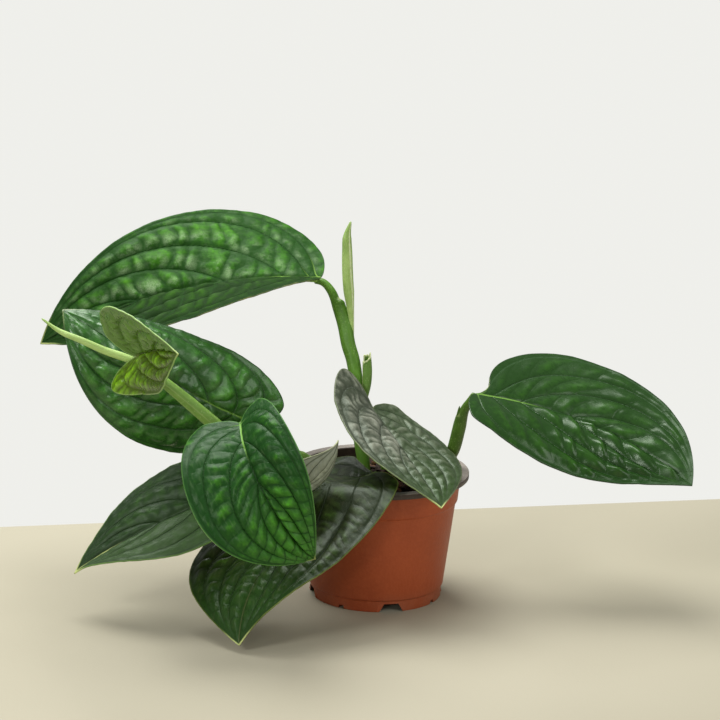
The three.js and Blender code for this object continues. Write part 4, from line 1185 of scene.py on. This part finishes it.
def scatterChips(material):
    random = np.random.default_rng(mix["seed"])
    noise.seed_set(mix["seed"])  # without a seed the noise of the shapes starts from the clock
    shapes = [barkShape(k) for k in range(mix["shapes"])]
    pieces = []
    for k in range(mix["chips"] + mix["crumbPieces"]):
        crumb = k >= mix["chips"]
        reach = (mix["edge"] - (2.5 if crumb else 6)) * math.sqrt(random.random())
        turn = random.random() * fullTurn
        x, y = reach * math.cos(turn), reach * math.sin(turn)
        size = random.uniform(*mix["crumbSize" if crumb else "chipSize"])
        if any(math.hypot(x - a, y - b) < clear for a, b, clear in stemsAt) and not crumb:
            continue
        chip = shapes[k % mix["shapes"]].copy()
        chip.data = chip.data.copy()
        bpy.context.collection.objects.link(chip)
        scale = Vector((size, size * random.uniform(0.45, 0.8), size * random.uniform(0.25, 0.45)))
        tilt = Matrix.Rotation(random.uniform(-mix["tilt"], mix["tilt"]), 4, "X")
        tilt = tilt @ Matrix.Rotation(random.uniform(-mix["tilt"], mix["tilt"]), 4, "Y")
        spin = Matrix.Rotation(random.random() * 6.28, 4, "Z")
        place = Matrix.Translation(Vector((x, y, mixTop(x, y) + scale.z * 0.25)) * mm)
        chip.data.transform(place @ spin @ tilt @ Matrix.Diagonal(scale * mm).to_4x4())
        setFacts(chip, tone=random.random())
        pieces.append(chip)
    for shape in shapes:
        bpy.data.objects.remove(shape)
    chips = joinPieces(pieces)
    dress(chips, material)
    smoothByAngle(chips, mix["chipSmooth"])
    return chips


bed = mixBody()
dress(bed, soilFinish())
finishPiece(bed, "mix_bed", "potting_mix", "potting_mix")
chips = scatterChips(barkFinish())
finishPiece(chips, "bark_chips", "potting_mix")
print("mix", len(bed.data.polygons), "faces", len(chips.data.polygons), "chip faces")


# floor, lights and camera

# the far edge of the table, in millimetres, runs a little away to the right
table = {"edgeLeft": (-234.9, 100.1), "edgeRight": (228.2, 204.6), "beyond": 6.0, "depth": 3.2}


def makeFloor():
    freshStart()
    bpy.ops.mesh.primitive_plane_add(size=1, location=(0, 0, 0))
    floor = bpy.context.object
    left, right = Vector(table["edgeLeft"]) * mm, Vector(table["edgeRight"]) * mm
    along = (right - left).normalized()
    back = Vector((along.y, -along.x)) * table["depth"]
    corners = {-1: left - along * table["beyond"] / 2, 1: right + along * table["beyond"] / 2}
    for point in floor.data.vertices:
        at = corners[1 if point.co.x > 0 else -1]
        if point.co.y <= 0:
            at = at + back
        point.co = (at.x, at.y, 0)
    floor.name = "floor"
    cloth = Finish("table_top", 0.7, 0.2)
    colour = cloth.paint("#ada792", ("#b4ae99", cloth.spread(cloth.grain(0.25, detail=2), 0.3, 0.7)))
    dress(floor, cloth.done(colour, None, cloth.relief((cloth.grain(0.0015), 0.00008))))


def addLight(name, size, power, place, aim):
    bpy.ops.object.light_add(type="AREA", location=place)
    light = bpy.context.object
    light.name = name
    light.visible_camera = False
    light.data.shape = "RECTANGLE"
    light.data.size = light.data.size_y = size
    light.data.energy = power
    light.rotation_euler = (Vector(aim) - Vector(place)).to_track_quat("-Z", "Y").to_euler()


# the room: pale where it is seen, dimmer as a light
def makeRoom():
    world = bpy.data.worlds.new("room")
    bpy.context.scene.world = world
    world.use_nodes = True
    nodes, links = world.node_tree.nodes, world.node_tree.links
    seen = nodes["Background"]
    dim = nodes.new("ShaderNodeBackground")
    chooser = nodes.new("ShaderNodeMixShader")
    rays = nodes.new("ShaderNodeLightPath")
    seen.inputs["Color"].default_value = (0.865, 0.865, 0.83, 1)
    dim.inputs["Color"].default_value = (0.83, 0.83, 0.81, 1)
    dim.inputs["Strength"].default_value = 0.3
    links.new(rays.outputs["Is Camera Ray"], chooser.inputs[0])
    links.new(dim.outputs[0], chooser.inputs[1])
    links.new(seen.outputs[0], chooser.inputs[2])
    links.new(chooser.outputs[0], nodes["World Output"].inputs["Surface"])


makeFloor()
freshStart()
addLight("overhead", 0.85, 18.5, (-0.34, 0.38, 1.13), (0, 0, 0.08))
addLight("zenith", 0.4, 3, (0.08, 0.03, 1.3), (0, 0, 0.08))
addLight("front_left", 0.4, 8.5, (-0.95, -1.1, 1.0), (0, 0, 0.12))
addLight("low_front", 0.2, 2.2, (-0.5, -1.35, 0.42), (-0.06, 0, 0.12))
addLight("front_right", 0.9, 6, (1.1, -0.9, 0.9), (0, 0, 0.1))
makeRoom()
bpy.context.scene.view_settings.view_transform = "Standard"
bpy.context.scene.view_settings.look = "None"

# the camera that was fitted to the photograph: down and roll in radians, focal length in pixels
view = {"place": (-0.01292, -1.5154, 0.5252), "down": 0.249, "roll": 0.029, "focal": 2711.5, "pixels": 720,
        "sensor": 36, "far": 20}
bpy.ops.object.camera_add(location=view["place"])
camera = bpy.context.object
down, roll = view["down"], view["roll"]
right, up = Vector((1, 0, 0)), Vector((0, math.sin(down), math.cos(down)))
cameraX = right * math.cos(roll) + up * math.sin(roll)
cameraY = up * math.cos(roll) - right * math.sin(roll)
cameraZ = Vector((0, -math.cos(down), math.sin(down)))
camera.rotation_euler = Matrix((cameraX, cameraY, cameraZ)).transposed().to_euler()
camera.data.sensor_width = view["sensor"]
camera.data.lens = view["sensor"] * view["focal"] / view["pixels"]
camera.data.clip_end = view["far"]
bpy.context.scene.camera = camera
